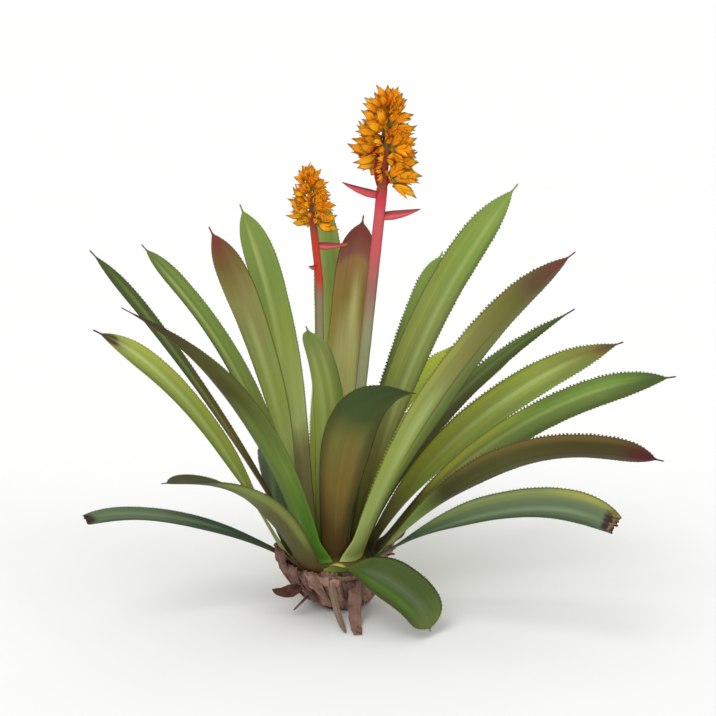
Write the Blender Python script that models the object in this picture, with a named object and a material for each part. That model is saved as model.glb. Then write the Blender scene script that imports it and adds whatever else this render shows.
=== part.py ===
"""A bromeliad lifted from its pot: a rosette of toothed strap leaves on a short woody stump, with two
flower spikes and the dry sheaths of old leaves round its foot. Metres, +Z up. The origin is at the
middle of the stump's flat foot, and the plant's front faces -Y."""

import math
import random
from typing import NamedTuple

import bmesh
import bpy
from mathutils import Matrix, Vector

# The gap kept where two pieces touch
GAP = 0.0003

# The stump: a skewed cone on a flat foot, with a domed crown that the leaves stand on
CROWN_X = -0.012
CROWN_TOP = 0.072
CROWN_RADIUS = 0.060
CROWN_DROP = 0.0155
CROWN_POWER = 4
FOOT_RADIUS = 0.030
STUMP_PROFILE = ((FOOT_RADIUS, 0.0), (0.040, 0.012), (0.049, 0.030), (0.056, 0.048))
STUMP_SIDES = 24
STUMP_ROUGHNESS = 0.0012

# The leaves stand in rings round the crown, the oldest in the outermost ring
RING_INNER = 0.028
RING_PITCH = 0.007

# One leaf's blade
BLADE_ROWS = 14
BLADE_COLUMNS = 4
BLADE_MIDDLE = 0.0018
BLADE_MARGIN = 0.0008
BLADE_CHANNEL = 0.62
TIP_CHANNEL = 0.37
CHANNEL_OPENS = 0.35
CHANNEL_FLATTENS = 0.7
ROLL_REACHED = 0.5
SHEATH_WIDTH = 0.036
BELLY_AT = 0.58
LAST_ROW = 0.972
TIP_HANDLE = 0.36
ROW_CROWDING = 1.3
TOOTH_HEIGHT = 0.0028
TOOTH_BASE = 0.0036
TOOTH_SWEEP = 0.0022
FIRST_TOOTHED_ROW = 2

# The flower spikes' stalks and heads
STALK_SIDES = 10
BRACT_THICKNESS = 0.0016
HEAD_AXIS_SIDES = 8
HAND_SPREAD = 36.0
HAND_NOTCH = 0.62
HAND_DEPTH = 0.075
HAND_SPLAY = 0.24
HAND_ROLL = 35.0
BRACT_ROLL = 60.0
BRACT_OUTLINE = ((0.0, 0.9), (0.3, 1.0), (0.6, 0.72), (0.85, 0.34))
BRACT_SAG = 0.2
STALK_BRACT_FOLD = 0.9
HEAD_BRACT_FOLD = 0.5
STALK_BENDS = (0.18, 0.298, 0.42, 0.47)
ROOTED_BRACT = 0.3
ROOTED_CLUSTER = 0.2
HAND_SHOULDER = 0.42
HAND_MIDDLE = 0.40
SHOULDER_SPREAD = 45.0
OUTER_LOBE = 0.86
TOP_CLUSTER_LIFT = 62.0
TOP_CLUSTER_SIZE = 0.66
HEAD_TAPER = (1.0, 0.7, 0.35)
GOLDEN_TURN = 137.5
STALK_GROUND_RADIUS = 0.024

# The dry sheaths round the stump
SHEATH_SPAN = 62.0
SHEATH_THICKNESS = 0.0012
SHEATH_LAP = 0.0026
SHEATH_CLEARANCE = 0.0009
SHEATH_COLUMNS = 7
SHEATH_LEVELS = 4

# The dry strips and scraps
STRIP_THICKNESS = 0.0014
STRIP_MARGIN = 0.0010
STRIP_COLUMNS = 3
LAST_STRIP_ROW = 0.94


class Finish(NamedTuple):
    """A plain colour and how rough it is."""

    colour: tuple
    roughness: float


FINISHES = {
    "leaf_green": Finish((0.13, 0.27, 0.05), 0.45),
    "leaf_lime": Finish((0.33, 0.46, 0.10), 0.45),
    "leaf_olive": Finish((0.20, 0.19, 0.05), 0.45),
    "leaf_dark": Finish((0.06, 0.11, 0.04), 0.45),
    "leaf_grey": Finish((0.17, 0.25, 0.13), 0.50),
    "stalk_pink": Finish((0.62, 0.13, 0.13), 0.45),
    "floret_orange": Finish((0.86, 0.33, 0.02), 0.45),
    "dry_brown": Finish((0.21, 0.11, 0.08), 0.85),
    "stump_brown": Finish((0.13, 0.07, 0.05), 0.90),
}


class Leaf(NamedTuple):
    """One leaf: its ring, the compass turn of its root and of its tip about the crown, how far out and
    how high its tip lies, the slope of its last stretch in degrees, and its greatest width. Turns are
    in degrees from +X towards +Y. heading is the tip's own direction where that isn't its turn."""

    ring: int
    root: float
    turn: float
    reach: float
    height: float
    dip: float
    width: float
    finish: str = "leaf_green"
    sheath: float = SHEATH_WIDTH
    belly: float = BELLY_AT
    taper: float = 3.2
    roll: float = 0.0
    heading: float = None
    stem: float = 0.36


LEAVES = {
    # Ring 0, the youngest and most upright
    "leaf_01": Leaf(0, 262, 256, 0.117, 0.403, 60, 0.046, belly=0.73, taper=3.8, heading=230),
    "leaf_02": Leaf(0, 78, 59, 0.083, 0.514, 74, 0.055, "leaf_olive", belly=0.60, taper=5.0, roll=12),
    # Ring 1
    "leaf_03": Leaf(1, 90, 98, 0.131, 0.556, 78, 0.048, sheath=0.032, heading=125),
    "leaf_04": Leaf(1, 145, 141, 0.158, 0.525, 60, 0.047, sheath=0.032, belly=0.57, taper=3.8, roll=-30,
                    stem=0.42),
    "leaf_05": Leaf(1, 205, 175, 0.157, 0.507, 64, 0.052, "leaf_olive", sheath=0.032, belly=0.56, taper=3.5,
                    roll=-50, stem=0.26),
    "leaf_06": Leaf(1, 278, 296, 0.236, 0.343, 2, 0.068, "leaf_olive", belly=0.55, roll=5, heading=325,
                    stem=0.20),
    "leaf_07": Leaf(1, 18, 17, 0.258, 0.555, 48, 0.051, belly=0.63, taper=2.8, roll=45),
    # Ring 2
    "leaf_08": Leaf(2, 52, 51, 0.246, 0.447, 50, 0.034, belly=0.65, taper=4.5, roll=20, stem=0.25),
    "leaf_09": Leaf(2, 150, 158, 0.277, 0.470, 44, 0.033, sheath=0.030, belly=0.57, taper=4.6, roll=-20,
                    heading=160, stem=0.50),
    "leaf_10": Leaf(2, 236, 224, 0.327, 0.448, 30, 0.046, "leaf_olive", taper=1.6, roll=9, heading=219,
                    stem=0.33),
    "leaf_11": Leaf(2, 322, 343, 0.315, 0.491, 39, 0.055, "leaf_lime", belly=0.54, roll=-36, heading=338,
                    stem=0.25),
    "leaf_12": Leaf(2, 105, 91, 0.300, 0.287, 5, 0.044, "leaf_lime"),
    "leaf_13": Leaf(2, 191, 176, 0.313, 0.475, 44, 0.029, "leaf_dark", sheath=0.026, belly=0.60, taper=2.8,
                    roll=-16, heading=161, stem=0.11),
    "leaf_14": Leaf(2, 7, 7, 0.324, 0.394, 32, 0.034, "leaf_dark", sheath=0.028, belly=0.53, taper=1.5,
                    roll=38, heading=358),
    # Ring 3
    "leaf_16": Leaf(3, 84, 50, 0.288, 0.311, 20, 0.042, "leaf_lime", sheath=0.028),
    "leaf_17": Leaf(3, 130, 110, 0.319, 0.310, 10, 0.044),
    "leaf_18": Leaf(3, 46, 37, 0.334, 0.302, 25, 0.042, "leaf_lime", sheath=0.026),
    "leaf_19": Leaf(3, 14, 10.5, 0.400, 0.342, 16, 0.050, "leaf_lime", sheath=0.028, belly=0.50, roll=48,
                    stem=0.33),
    # Ring 4, the oldest and lowest
    "leaf_15": Leaf(4, 208, 209, 0.321, 0.407, 28, 0.041, "leaf_lime", sheath=0.028, belly=0.52, taper=4.5,
                    roll=-40, heading=189, stem=0.15),
    "leaf_20": Leaf(4, 5, 348, 0.441, 0.334, 10, 0.046, sheath=0.034, belly=0.56, taper=3.4, roll=44,
                    stem=0.30),
    "leaf_21": Leaf(4, 336, 338, 0.438, 0.246, -10, 0.048, "leaf_olive", sheath=0.022, belly=0.66, taper=4.0,
                    roll=-54, heading=347, stem=0.51),
    "leaf_22": Leaf(4, 313, 331, 0.404, 0.167, -38, 0.053, "leaf_grey", sheath=0.020, belly=0.53, taper=8.0,
                    roll=30, heading=347, stem=0.10),
    "leaf_23": Leaf(4, 278, 316, 0.177, 0.008, -76, 0.072, sheath=0.030, belly=0.60, taper=2.8, stem=0.36),
    "leaf_24": Leaf(4, 245, 232, 0.313, 0.244, 5, 0.054, "leaf_olive", sheath=0.034, taper=4.0, roll=4,
                    heading=214, stem=0.44),
    "leaf_25": Leaf(4, 184, 199, 0.332, 0.148, -10, 0.030, "leaf_grey", sheath=0.018, belly=0.59, taper=8.0,
                    roll=-19, heading=210, stem=0.06),
    "leaf_26": Leaf(4, 72, 68, 0.355, 0.169, -20, 0.046),
    "leaf_27": Leaf(4, 118, 108, 0.316, 0.177, -20, 0.046),
    "leaf_28": Leaf(4, 155, 112, 0.276, 0.140, -20, 0.044, "leaf_grey"),
}


def clear_scene():
    """Remove every object that the scene starts with."""
    for obj in list(bpy.data.objects):
        bpy.data.objects.remove(obj, do_unlink=True)


def make_finish(name):
    """The material of one finish, made once."""
    if name in bpy.data.materials:
        return bpy.data.materials[name]
    finish = FINISHES[name]
    material = bpy.data.materials.new(name)
    material.use_nodes = True
    shader = material.node_tree.nodes["Principled BSDF"]
    shader.inputs["Base Color"].default_value = (*finish.colour, 1.0)
    shader.inputs["Roughness"].default_value = finish.roughness
    shader.inputs["Metallic"].default_value = 0.0
    return material


def add_object(name, verts, faces, finish):
    """Put a mesh in the scene as a smooth shaded object."""
    mesh = bpy.data.meshes.new(name)
    mesh.from_pydata([tuple(v) for v in verts], [], faces)
    mesh.validate()
    mesh.shade_smooth()
    mesh.set_sharp_from_angle(angle=math.radians(40))
    obj = bpy.data.objects.new(name, mesh)
    obj.data.materials.append(make_finish(finish))
    bpy.context.scene.collection.objects.link(obj)
    return obj


def compass(degrees, elevation=0.0):
    """The unit vector at a turn from +X towards +Y and an elevation above the ground."""
    turn = math.radians(degrees)
    rise = math.radians(elevation)
    return Vector((math.cos(turn) * math.cos(rise), math.sin(turn) * math.cos(rise), math.sin(rise)))


def smoothstep(value):
    """0 to 1 with level ends."""
    value = min(max(value, 0.0), 1.0)
    return value * value * (3.0 - 2.0 * value)


def mix(start, end, share):
    """The value that lies a share of the way from start to end."""
    return start + (end - start) * share


def bezier(points, share):
    """The point a share of the way along a cubic Bezier curve."""
    rest = 1.0 - share
    return (points[0] * rest**3 + points[1] * 3 * rest**2 * share
            + points[2] * 3 * rest * share**2 + points[3] * share**3)


def even_shares(points, shares, samples=80):
    """Points and unit directions at the given shares of a Bezier curve's length."""
    trail = [bezier(points, k / samples) for k in range(samples + 1)]
    lengths = [0.0]
    for before, after in zip(trail, trail[1:]):
        lengths.append(lengths[-1] + (after - before).length)
    found = []
    for share in shares:
        wanted = share * lengths[-1]
        k = next((i for i in range(samples) if lengths[i + 1] >= wanted), samples - 1)
        part = (wanted - lengths[k]) / (lengths[k + 1] - lengths[k])
        point = trail[k].lerp(trail[k + 1], part)
        low = trail[max(k - 1, 0)]
        high = trail[min(k + 2, samples)]
        found.append((point, (high - low).normalized()))
    return found, lengths[-1]


def crown_height(radius):
    """The height of the crown's dome at a distance from its axis."""
    return CROWN_TOP - CROWN_DROP * (radius / CROWN_RADIUS) ** CROWN_POWER


def crown_rise(radius):
    """The elevation, in degrees, of the direction that stands square on the dome."""
    slope = CROWN_DROP * CROWN_POWER * radius ** (CROWN_POWER - 1) / CROWN_RADIUS**CROWN_POWER
    return 90.0 - math.degrees(math.atan(slope))


def stump_axis(height):
    """The sideways place of the stump's middle at a height: it leans over from foot to crown."""
    return CROWN_X * smoothstep(height / crown_height(CROWN_RADIUS))


def stump_radius(height):
    """The stump's radius at a height below its rim."""
    outline = [*STUMP_PROFILE, (CROWN_RADIUS, crown_height(CROWN_RADIUS))]
    for (low_r, low_z), (high_r, high_z) in zip(outline, outline[1:]):
        if height <= high_z:
            return mix(low_r, high_r, (height - low_z) / (high_z - low_z))
    return CROWN_RADIUS


class Skin:
    """Vertices and triangles of a closed body, gathered piece by piece."""

    def __init__(self):
        self.verts = []
        self.faces = []

    def point(self, place):
        """Add a vertex and give its number."""
        self.verts.append(place)
        return len(self.verts) - 1

    def quad(self, a, b, c, d):
        """Two triangles that share the edge a to c."""
        self.faces.append((a, b, c))
        self.faces.append((a, c, d))

    def triangle(self, a, b, c):
        """One triangle."""
        self.faces.append((a, b, c))


def build_blade(rows, teeth=None, point=None, columns=BLADE_COLUMNS):
    """A thin arched blade with an upper and a lower skin cut into the same triangles.

    Each row is (middle, along, side, width, half_angle, thick_middle, thick_margin). teeth names the
    rows that start a tooth on both margins, and point is the tip, or None for a squared end."""
    skin = Skin()
    upper, lower = [], []
    frames = []
    for middle, along, side, width, half_angle, thick, margin in rows:
        side = (side - along * side.dot(along)).normalized()
        inward = side.cross(along)
        radius = width / 2 / half_angle
        top_row, low_row = [], []
        for column in range(columns + 1):
            across = 2.0 * column / columns - 1.0
            angle = across * half_angle
            place = middle + side * (radius * math.sin(angle)) + inward * (radius * (1 - math.cos(angle)))
            out = inward * math.cos(angle) - side * math.sin(angle)
            half = mix(thick, margin, across * across) / 2
            top_row.append(skin.point(place + out * half))
            low_row.append(skin.point(place - out * half))
        upper.append(top_row)
        lower.append(low_row)
        frames.append((along, side, half_angle, inward))
    for row in range(len(rows) - 1):
        for column in range(columns):
            ends = column == 0 or column == columns - 1
            if teeth and row in teeth and ends:
                continue
            skin.quad(upper[row][column], upper[row][column + 1],
                      upper[row + 1][column + 1], upper[row + 1][column])
            skin.quad(lower[row][column], lower[row + 1][column],
                      lower[row + 1][column + 1], lower[row][column + 1])
        for edge, inner, mirrored in ((0, 1, False), (columns, columns - 1, True)):
            corners = (upper[row][edge], lower[row][edge], lower[row + 1][edge], upper[row + 1][edge])
            if teeth and row in teeth:
                add_tooth(skin, upper, lower, row, edge, inner, frames[row], mirrored)
            elif mirrored:
                skin.quad(*corners)
            else:
                skin.quad(*reversed(corners))
    close_blade(skin, upper, lower, point, columns)
    return skin


def add_tooth(skin, upper, lower, row, edge, inner, frame, mirrored):
    """The strip of blade beside one margin between two rows, with a forward pointing tooth at its start."""
    along, side, half_angle, inward = frame
    top, low = skin.verts[upper[row][edge]], skin.verts[lower[row][edge]]
    next_top, next_low = skin.verts[upper[row + 1][edge]], skin.verts[lower[row + 1][edge]]
    share = TOOTH_BASE / (next_top - top).length
    end_top = skin.point(top.lerp(next_top, share))
    end_low = skin.point(low.lerp(next_low, share))
    sign = 1.0 if mirrored else -1.0
    outward = side * (sign * math.cos(half_angle)) + inward * math.sin(half_angle)
    tip = skin.point((top + low) / 2 + outward * TOOTH_HEIGHT + along * TOOTH_SWEEP)
    fans = (
        (upper[row][edge], end_top, tip),
        (upper[row][inner], end_top, upper[row][edge]),
        (upper[row][inner], upper[row + 1][inner], end_top),
        (upper[row + 1][inner], upper[row + 1][edge], end_top),
        (lower[row][edge], tip, end_low),
        (lower[row][inner], lower[row][edge], end_low),
        (lower[row][inner], end_low, lower[row + 1][inner]),
        (lower[row + 1][inner], end_low, lower[row + 1][edge]),
        (lower[row][edge], upper[row][edge], tip),
        (end_top, end_low, tip),
        (end_top, upper[row + 1][edge], lower[row + 1][edge]),
        (end_top, lower[row + 1][edge], end_low),
    )
    for a, b, c in fans:
        if mirrored:
            skin.triangle(a, c, b)
        else:
            skin.triangle(a, b, c)


def close_blade(skin, upper, lower, point, columns):
    """The root end of a blade, and its tip or squared far end."""
    for column in range(columns):
        skin.quad(upper[0][column], lower[0][column], lower[0][column + 1], upper[0][column + 1])
    if point is None:
        for column in range(columns):
            skin.quad(upper[-1][column], upper[-1][column + 1], lower[-1][column + 1], lower[-1][column])
        return
    tip = skin.point(point)
    for column in range(columns):
        skin.triangle(upper[-1][column], upper[-1][column + 1], tip)
        skin.triangle(lower[-1][column + 1], lower[-1][column], tip)
    skin.triangle(lower[-1][0], upper[-1][0], tip)
    skin.triangle(upper[-1][columns], lower[-1][columns], tip)


def leaf_width(leaf, share):
    """A leaf's width at a share of its length."""
    if share < leaf.belly:
        return mix(leaf.sheath, leaf.width, smoothstep(share / leaf.belly))
    beyond = (share - leaf.belly) / (1.0 - leaf.belly)
    return leaf.width * (1.0 - beyond**leaf.taper)


def leaf_curve(leaf):
    """The four control points of a leaf's middle line."""
    radius = RING_INNER + RING_PITCH * leaf.ring
    rise = crown_rise(radius)
    root = Vector((CROWN_X, 0.0, crown_height(radius))) + compass(leaf.root) * radius
    root += compass(leaf.root, rise) * GAP
    tip = Vector((CROWN_X, 0.0, leaf.height)) + compass(leaf.turn) * leaf.reach
    heading = leaf.turn if leaf.heading is None else leaf.heading
    chord = (tip - root).length
    return (root, root + compass(leaf.root, rise) * chord * leaf.stem,
            tip - compass(heading, leaf.dip) * chord * TIP_HANDLE, tip)


def make_leaf(name, leaf):
    """One leaf: a channelled blade on a curved middle line, with teeth down both margins."""
    ring_radius = RING_INNER + RING_PITCH * leaf.ring
    heading = leaf.turn if leaf.heading is None else leaf.heading
    steps = [row / (BLADE_ROWS - 1) for row in range(BLADE_ROWS)]
    shares = [LAST_ROW * (1.0 - (1.0 - step) ** ROW_CROWDING) for step in steps]
    trail, _ = even_shares(leaf_curve(leaf), [*shares, 1.0])
    rows = []
    for share, (place, along) in zip(shares, trail):
        width = leaf_width(leaf, share)
        swing = (heading - leaf.root + 180) % 360 - 180
        facing = leaf.root + swing * smoothstep(share) ** 2
        turned = math.radians(leaf.roll) * smoothstep(share / ROLL_REACHED)
        side = Matrix.Rotation(turned, 3, along) @ compass(facing - 90)
        half_angle = mix(leaf.sheath / 2 / ring_radius, BLADE_CHANNEL, smoothstep(share / CHANNEL_OPENS))
        flat = smoothstep((share - CHANNEL_FLATTENS) / (1.0 - CHANNEL_FLATTENS))
        half_angle = mix(half_angle, TIP_CHANNEL, flat)
        rows.append((place, along, side, width, half_angle, BLADE_MIDDLE, BLADE_MARGIN))
    toothed = range(FIRST_TOOTHED_ROW, BLADE_ROWS - 1)
    skin = build_blade(rows, teeth=toothed, point=trail[-1][0])
    return add_object(name, skin.verts, skin.faces, leaf.finish)


def tube(points, radii, sides):
    """A closed round rod through points one above the other, cut level at both ends."""
    skin = Skin()
    rings = []
    for place, radius in zip(points, radii):
        rings.append([skin.point(place + compass(360 * corner / sides) * radius) for corner in range(sides)])
    for low, high in zip(rings, rings[1:]):
        for corner in range(sides):
            other = (corner + 1) % sides
            skin.quad(low[corner], low[other], high[other], high[corner])
    for corner in range(1, sides - 1):
        skin.triangle(rings[0][0], rings[0][corner + 1], rings[0][corner])
        skin.triangle(rings[-1][0], rings[-1][corner], rings[-1][corner + 1])
    return skin


def path_point(path, height):
    """The place on a spike's axis at a height."""
    for (low_x, low_y, low_z), (high_x, high_y, high_z) in zip(path, path[1:]):
        if height <= high_z:
            share = (height - low_z) / (high_z - low_z)
            return Vector((mix(low_x, high_x, share), mix(low_y, high_y, share), height))
    return Vector(path[-1])


def bract_blade(root, tip, facing, width, fold):
    """A long pointed bract, folded into a channel whose open side looks the way of facing."""
    span = tip - root
    rows = []
    for share, scale in BRACT_OUTLINE:
        sag = BRACT_SAG * span.length * share * (1 - share)
        place = root.lerp(tip, share) - facing * sag
        slope = (span.normalized() - facing * (BRACT_SAG * (1 - 2 * share))).normalized()
        side = facing.cross(slope)
        rows.append((place, slope, side, width * scale, fold, BRACT_THICKNESS, BLADE_MARGIN))
    return build_blade(rows, point=tip)


def floret_hand(root, along, out, length, lobes, chance):
    """A spray of pointed floret bracts joined at the base, like a hand with its palm the way of out."""
    skin = Skin()
    side = along.cross(out).normalized()
    outline = [root, hand_place(root, along, side, -SHOULDER_SPREAD, length * HAND_SHOULDER)]
    for lobe in range(lobes):
        across = 2 * lobe / (lobes - 1) - 1
        reach = length * mix(1.0, OUTER_LOBE, abs(across)) * chance.uniform(0.90, 1.05)
        turn = HAND_SPREAD * across + chance.uniform(-3, 3)
        lean = HAND_SPLAY if lobe % 2 else -HAND_SPLAY
        outline.append(hand_place(root, along, side, turn, reach) + out * (length * lean))
        if lobe < lobes - 1:
            notch = HAND_SPREAD * (across + 1 / (lobes - 1))
            outline.append(hand_place(root, along, side, notch, length * HAND_NOTCH))
    outline.append(hand_place(root, along, side, SHOULDER_SPREAD, length * HAND_SHOULDER))
    corners = [skin.point(place) for place in outline]
    middle = root + along * (length * HAND_MIDDLE)
    upper = skin.point(middle + out * (length * HAND_DEPTH))
    lower = skin.point(middle - out * (length * HAND_DEPTH))
    for here, there in zip(corners, corners[1:] + corners[:1]):
        skin.triangle(upper, there, here)
        skin.triangle(lower, here, there)
    return skin


def hand_place(root, along, side, turn, reach):
    """A place on a hand's outline, at a turn from its middle direction."""
    angle = math.radians(turn)
    return root + (along * math.cos(angle) + side * math.sin(angle)) * reach


def fuse(name, skins, finish):
    """Join closed bodies into one by a Boolean union, and keep the one large body that results."""
    core = add_object(name, skins[0].verts, skins[0].faces, finish)
    group = bpy.data.collections.new(name + "_repeats")
    bpy.context.scene.collection.children.link(group)
    for index, skin in enumerate(skins[1:]):
        piece = add_object(f"{name}_repeat_{index}", skin.verts, skin.faces, finish)
        bpy.context.scene.collection.objects.unlink(piece)
        group.objects.link(piece)
    union = core.modifiers.new("union", "BOOLEAN")
    union.operation = "UNION"
    union.operand_type = "COLLECTION"
    union.collection = group
    union.solver = "MANIFOLD"
    joined = bpy.data.meshes.new_from_object(core.evaluated_get(bpy.context.evaluated_depsgraph_get()))
    core.modifiers.remove(union)
    core.data = joined
    for piece in list(group.objects):
        bpy.data.objects.remove(piece, do_unlink=True)
    bpy.data.collections.remove(group)
    keep_largest_body(joined)
    return core


def keep_largest_body(mesh):
    """Fill hollows and drop scraps: only the body with the most vertices stays."""
    work = bmesh.new()
    work.from_mesh(mesh)
    bmesh.ops.triangulate(work, faces=work.faces[:], ngon_method="EAR_CLIP")
    unseen = set(work.verts)
    bodies = []
    while unseen:
        stack = [unseen.pop()]
        body = set(stack)
        while stack:
            for edge in stack.pop().link_edges:
                for vert in edge.verts:
                    if vert not in body:
                        body.add(vert)
                        stack.append(vert)
        unseen -= body
        bodies.append(body)
    bodies.sort(key=len, reverse=True)
    for body in bodies[1:]:
        bmesh.ops.delete(work, geom=list(body), context="VERTS")
    work.to_mesh(mesh)
    work.free()


class Spike(NamedTuple):
    """One flower spike: its axis from the crown to its top, and what stands on it. A bract is (height,
    turn, length, lift in degrees, width). The head starts where the stalk ends. A lone cluster, below
    the head's spiral of clusters, is (height, turn, lift in degrees, length)."""

    path: tuple
    stalk_top: float
    stalk_radius: float
    neck_radius: float
    stalk_bracts: tuple
    crimson_bracts: tuple
    lone_clusters: tuple
    first_cluster: float
    clusters: int
    reach: float
    lobes: int
    seed: int


SPIKES = {
    "tall": Spike(
        path=((0.0035, 0.0, 0.0716), (0.027, 0.0, 0.298), (0.050, 0.0, 0.516), (0.058, 0.0, 0.600),
              (0.060, 0.0, 0.664)),
        stalk_top=0.557, stalk_radius=0.0076, neck_radius=0.0070,
        stalk_bracts=((0.523, 352, 0.052, 10, 0.015), (0.550, 186, 0.051, 18, 0.015)),
        crimson_bracts=((0.562, 205, 0.036, 78, 0.013), (0.562, 335, 0.028, 66, 0.012),
                        (0.592, 190, 0.034, 40, 0.008)),
        lone_clusters=((0.565, 348, 14, 0.052), (0.580, 264, -30, 0.036)),
        first_cluster=0.590, clusters=22, reach=0.046, lobes=5, seed=13),
    "short": Spike(
        path=((-0.026, -0.006, 0.0716), (-0.0255, -0.006, 0.300), (-0.026, -0.006, 0.440),
              (-0.0345, -0.006, 0.520), (-0.0385, -0.006, 0.574)),
        stalk_top=0.509, stalk_radius=0.0052, neck_radius=0.0048,
        stalk_bracts=((0.486, 356, 0.040, 2, 0.012), (0.458, 214, 0.013, 6, 0.010)),
        crimson_bracts=(),
        lone_clusters=(),
        first_cluster=0.516, clusters=20, reach=0.034, lobes=4, seed=11),
}


def make_stalk(name, spike):
    """A spike's stalk, with its long bracts grown on it."""
    foot = spike.path[0][2] + GAP
    points = [path_point(spike.path, height) for height in (foot, *STALK_BENDS, spike.stalk_top)]
    shares = [index / (len(points) - 1) for index in range(len(points))]
    radii = [mix(spike.stalk_radius, spike.neck_radius, share) for share in shares]
    skins = [tube(points, radii, STALK_SIDES)]
    for height, turn, length, lift, width in spike.stalk_bracts:
        skins.append(spike_bract(spike, height, turn, length, lift, width, STALK_BRACT_FOLD))
    return fuse(name, skins, "stalk_pink")


def spike_bract(spike, height, turn, length, lift, width, fold):
    """A long bract rooted well inside its stalk."""
    root = path_point(spike.path, height) + compass(turn) * (spike.neck_radius * ROOTED_BRACT)
    tip = root + compass(turn, lift) * length
    facing = Matrix.Rotation(math.radians(BRACT_ROLL), 3, compass(turn, lift)) @ compass(turn, lift + 90)
    return bract_blade(root, tip, facing, width, fold)


def make_head(name, spike):
    """A spike's head: clusters of pointed floret bracts in a spiral up a slim axis."""
    chance = random.Random(spike.seed)
    top = spike.path[-1][2]
    heights = [spike.stalk_top + GAP, mix(spike.stalk_top, top, 0.5), top]
    radii = [spike.neck_radius * share for share in HEAD_TAPER]
    skins = [tube([path_point(spike.path, height) for height in heights], radii, HEAD_AXIS_SIDES)]
    for height, turn, length, lift, width in spike.crimson_bracts:
        skins.append(spike_bract(spike, height, turn, length, lift, width, HEAD_BRACT_FOLD))
    clusters = list(spike.lone_clusters)
    for index in range(spike.clusters):
        share = index / (spike.clusters - 1)
        turn = index * GOLDEN_TURN + chance.uniform(-12, 12)
        lift = mix(0, TOP_CLUSTER_LIFT, share**1.3) + chance.uniform(-6, 6)
        length = spike.reach * mix(1.0, TOP_CLUSTER_SIZE, share**2) * chance.uniform(0.94, 1.06)
        clusters.append((mix(spike.first_cluster, top - 0.003, share), turn, lift, length))
    for height, turn, lift, length in clusters:
        root = path_point(spike.path, height) + compass(turn) * (spike.neck_radius * ROOTED_CLUSTER)
        along = compass(turn, lift)
        roll = math.radians(chance.uniform(-HAND_ROLL, HAND_ROLL))
        palm = Matrix.Rotation(roll, 3, along) @ compass(turn + 90)
        skins.append(floret_hand(root, along, palm, length, spike.lobes, chance))
    return fuse(name, skins, "floret_orange")


def make_stump():
    """The short woody stem that every leaf and both stalks stand on."""
    chance = random.Random(3)
    skin = Skin()
    rim = crown_height(CROWN_RADIUS)
    levels = [*STUMP_PROFILE, (CROWN_RADIUS, rim)]
    ring_radii = [RING_INNER + RING_PITCH * ring for ring in range(4, -1, -1)]
    levels += [(radius, crown_height(radius)) for radius in (*ring_radii, STALK_GROUND_RADIUS)]
    rings = []
    for radius, height in levels:
        middle = Vector((stump_axis(height), 0.0, height))
        rough = STUMP_ROUGHNESS if 0.0 < height < rim else 0.0
        ring = []
        for corner in range(STUMP_SIDES):
            outward = compass(360 * corner / STUMP_SIDES)
            ring.append(skin.point(middle + outward * (radius - chance.uniform(0.0, rough))))
        rings.append(ring)
    for low, high in zip(rings, rings[1:]):
        for corner in range(STUMP_SIDES):
            other = (corner + 1) % STUMP_SIDES
            skin.quad(low[corner], low[other], high[other], high[corner])
    foot = skin.point(Vector((0.0, 0.0, 0.0)))
    top = skin.point(Vector((CROWN_X, 0.0, crown_height(STALK_GROUND_RADIUS))))
    for corner in range(STUMP_SIDES):
        other = (corner + 1) % STUMP_SIDES
        skin.triangle(foot, rings[0][other], rings[0][corner])
        skin.triangle(top, rings[-1][corner], rings[-1][other])
    return add_object("stump", skin.verts, skin.faces, "stump_brown")


class DrySheath(NamedTuple):
    """One dry leaf base round the stump: where it starts, its lower and upper edge, and its fold."""

    turn: float
    low: float
    high: float
    fold: float


DRY_SHEATHS = (
    DrySheath(0, 0.006, 0.052, 0.0026),
    DrySheath(51, 0.010, 0.053, 0.0020),
    DrySheath(103, 0.004, 0.052, 0.0024),
    DrySheath(154, 0.014, 0.054, 0.0034),
    DrySheath(206, 0.010, 0.054, 0.0030),
    DrySheath(257, 0.003, 0.052, 0.0022),
    DrySheath(309, 0.005, 0.053, 0.0028),
)


def make_dry_sheath(name, sheath, seed):
    """A thin dry plate round part of the stump, lapping over the next one's start, with ragged edges."""
    chance = random.Random(seed)
    skin = Skin()
    outer, inner = [], []
    for column in range(SHEATH_COLUMNS + 1):
        share = column / SHEATH_COLUMNS
        turn = sheath.turn + SHEATH_SPAN * share
        low = sheath.low + chance.uniform(-0.003, 0.003)
        high = sheath.high + chance.uniform(-0.003, 0.001)
        fold = sheath.fold * smoothstep((share - 0.2) / 0.2) if column % 2 == 0 else 0.0
        out_row, in_row = [], []
        for level in range(SHEATH_LEVELS + 1):
            height = mix(low, high, level / SHEATH_LEVELS)
            radius = stump_radius(height) + SHEATH_CLEARANCE + SHEATH_LAP * share + fold
            middle = Vector((stump_axis(height), 0.0, height))
            out_row.append(skin.point(middle + compass(turn) * (radius + SHEATH_THICKNESS)))
            in_row.append(skin.point(middle + compass(turn) * radius))
        outer.append(out_row)
        inner.append(in_row)
    for column in range(SHEATH_COLUMNS):
        here, there = outer[column], outer[column + 1]
        in_here, in_there = inner[column], inner[column + 1]
        for level in range(SHEATH_LEVELS):
            skin.quad(here[level], there[level], there[level + 1], here[level + 1])
            skin.quad(in_here[level], in_here[level + 1], in_there[level + 1], in_there[level])
        skin.quad(in_here[0], in_there[0], there[0], here[0])
        skin.quad(here[-1], there[-1], in_there[-1], in_here[-1])
    for level in range(SHEATH_LEVELS):
        skin.quad(inner[0][level], outer[0][level], outer[0][level + 1], inner[0][level + 1])
        skin.quad(outer[-1][level], inner[-1][level], inner[-1][level + 1], outer[-1][level + 1])
    return add_object(name, skin.verts, skin.faces, "dry_brown")


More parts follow.
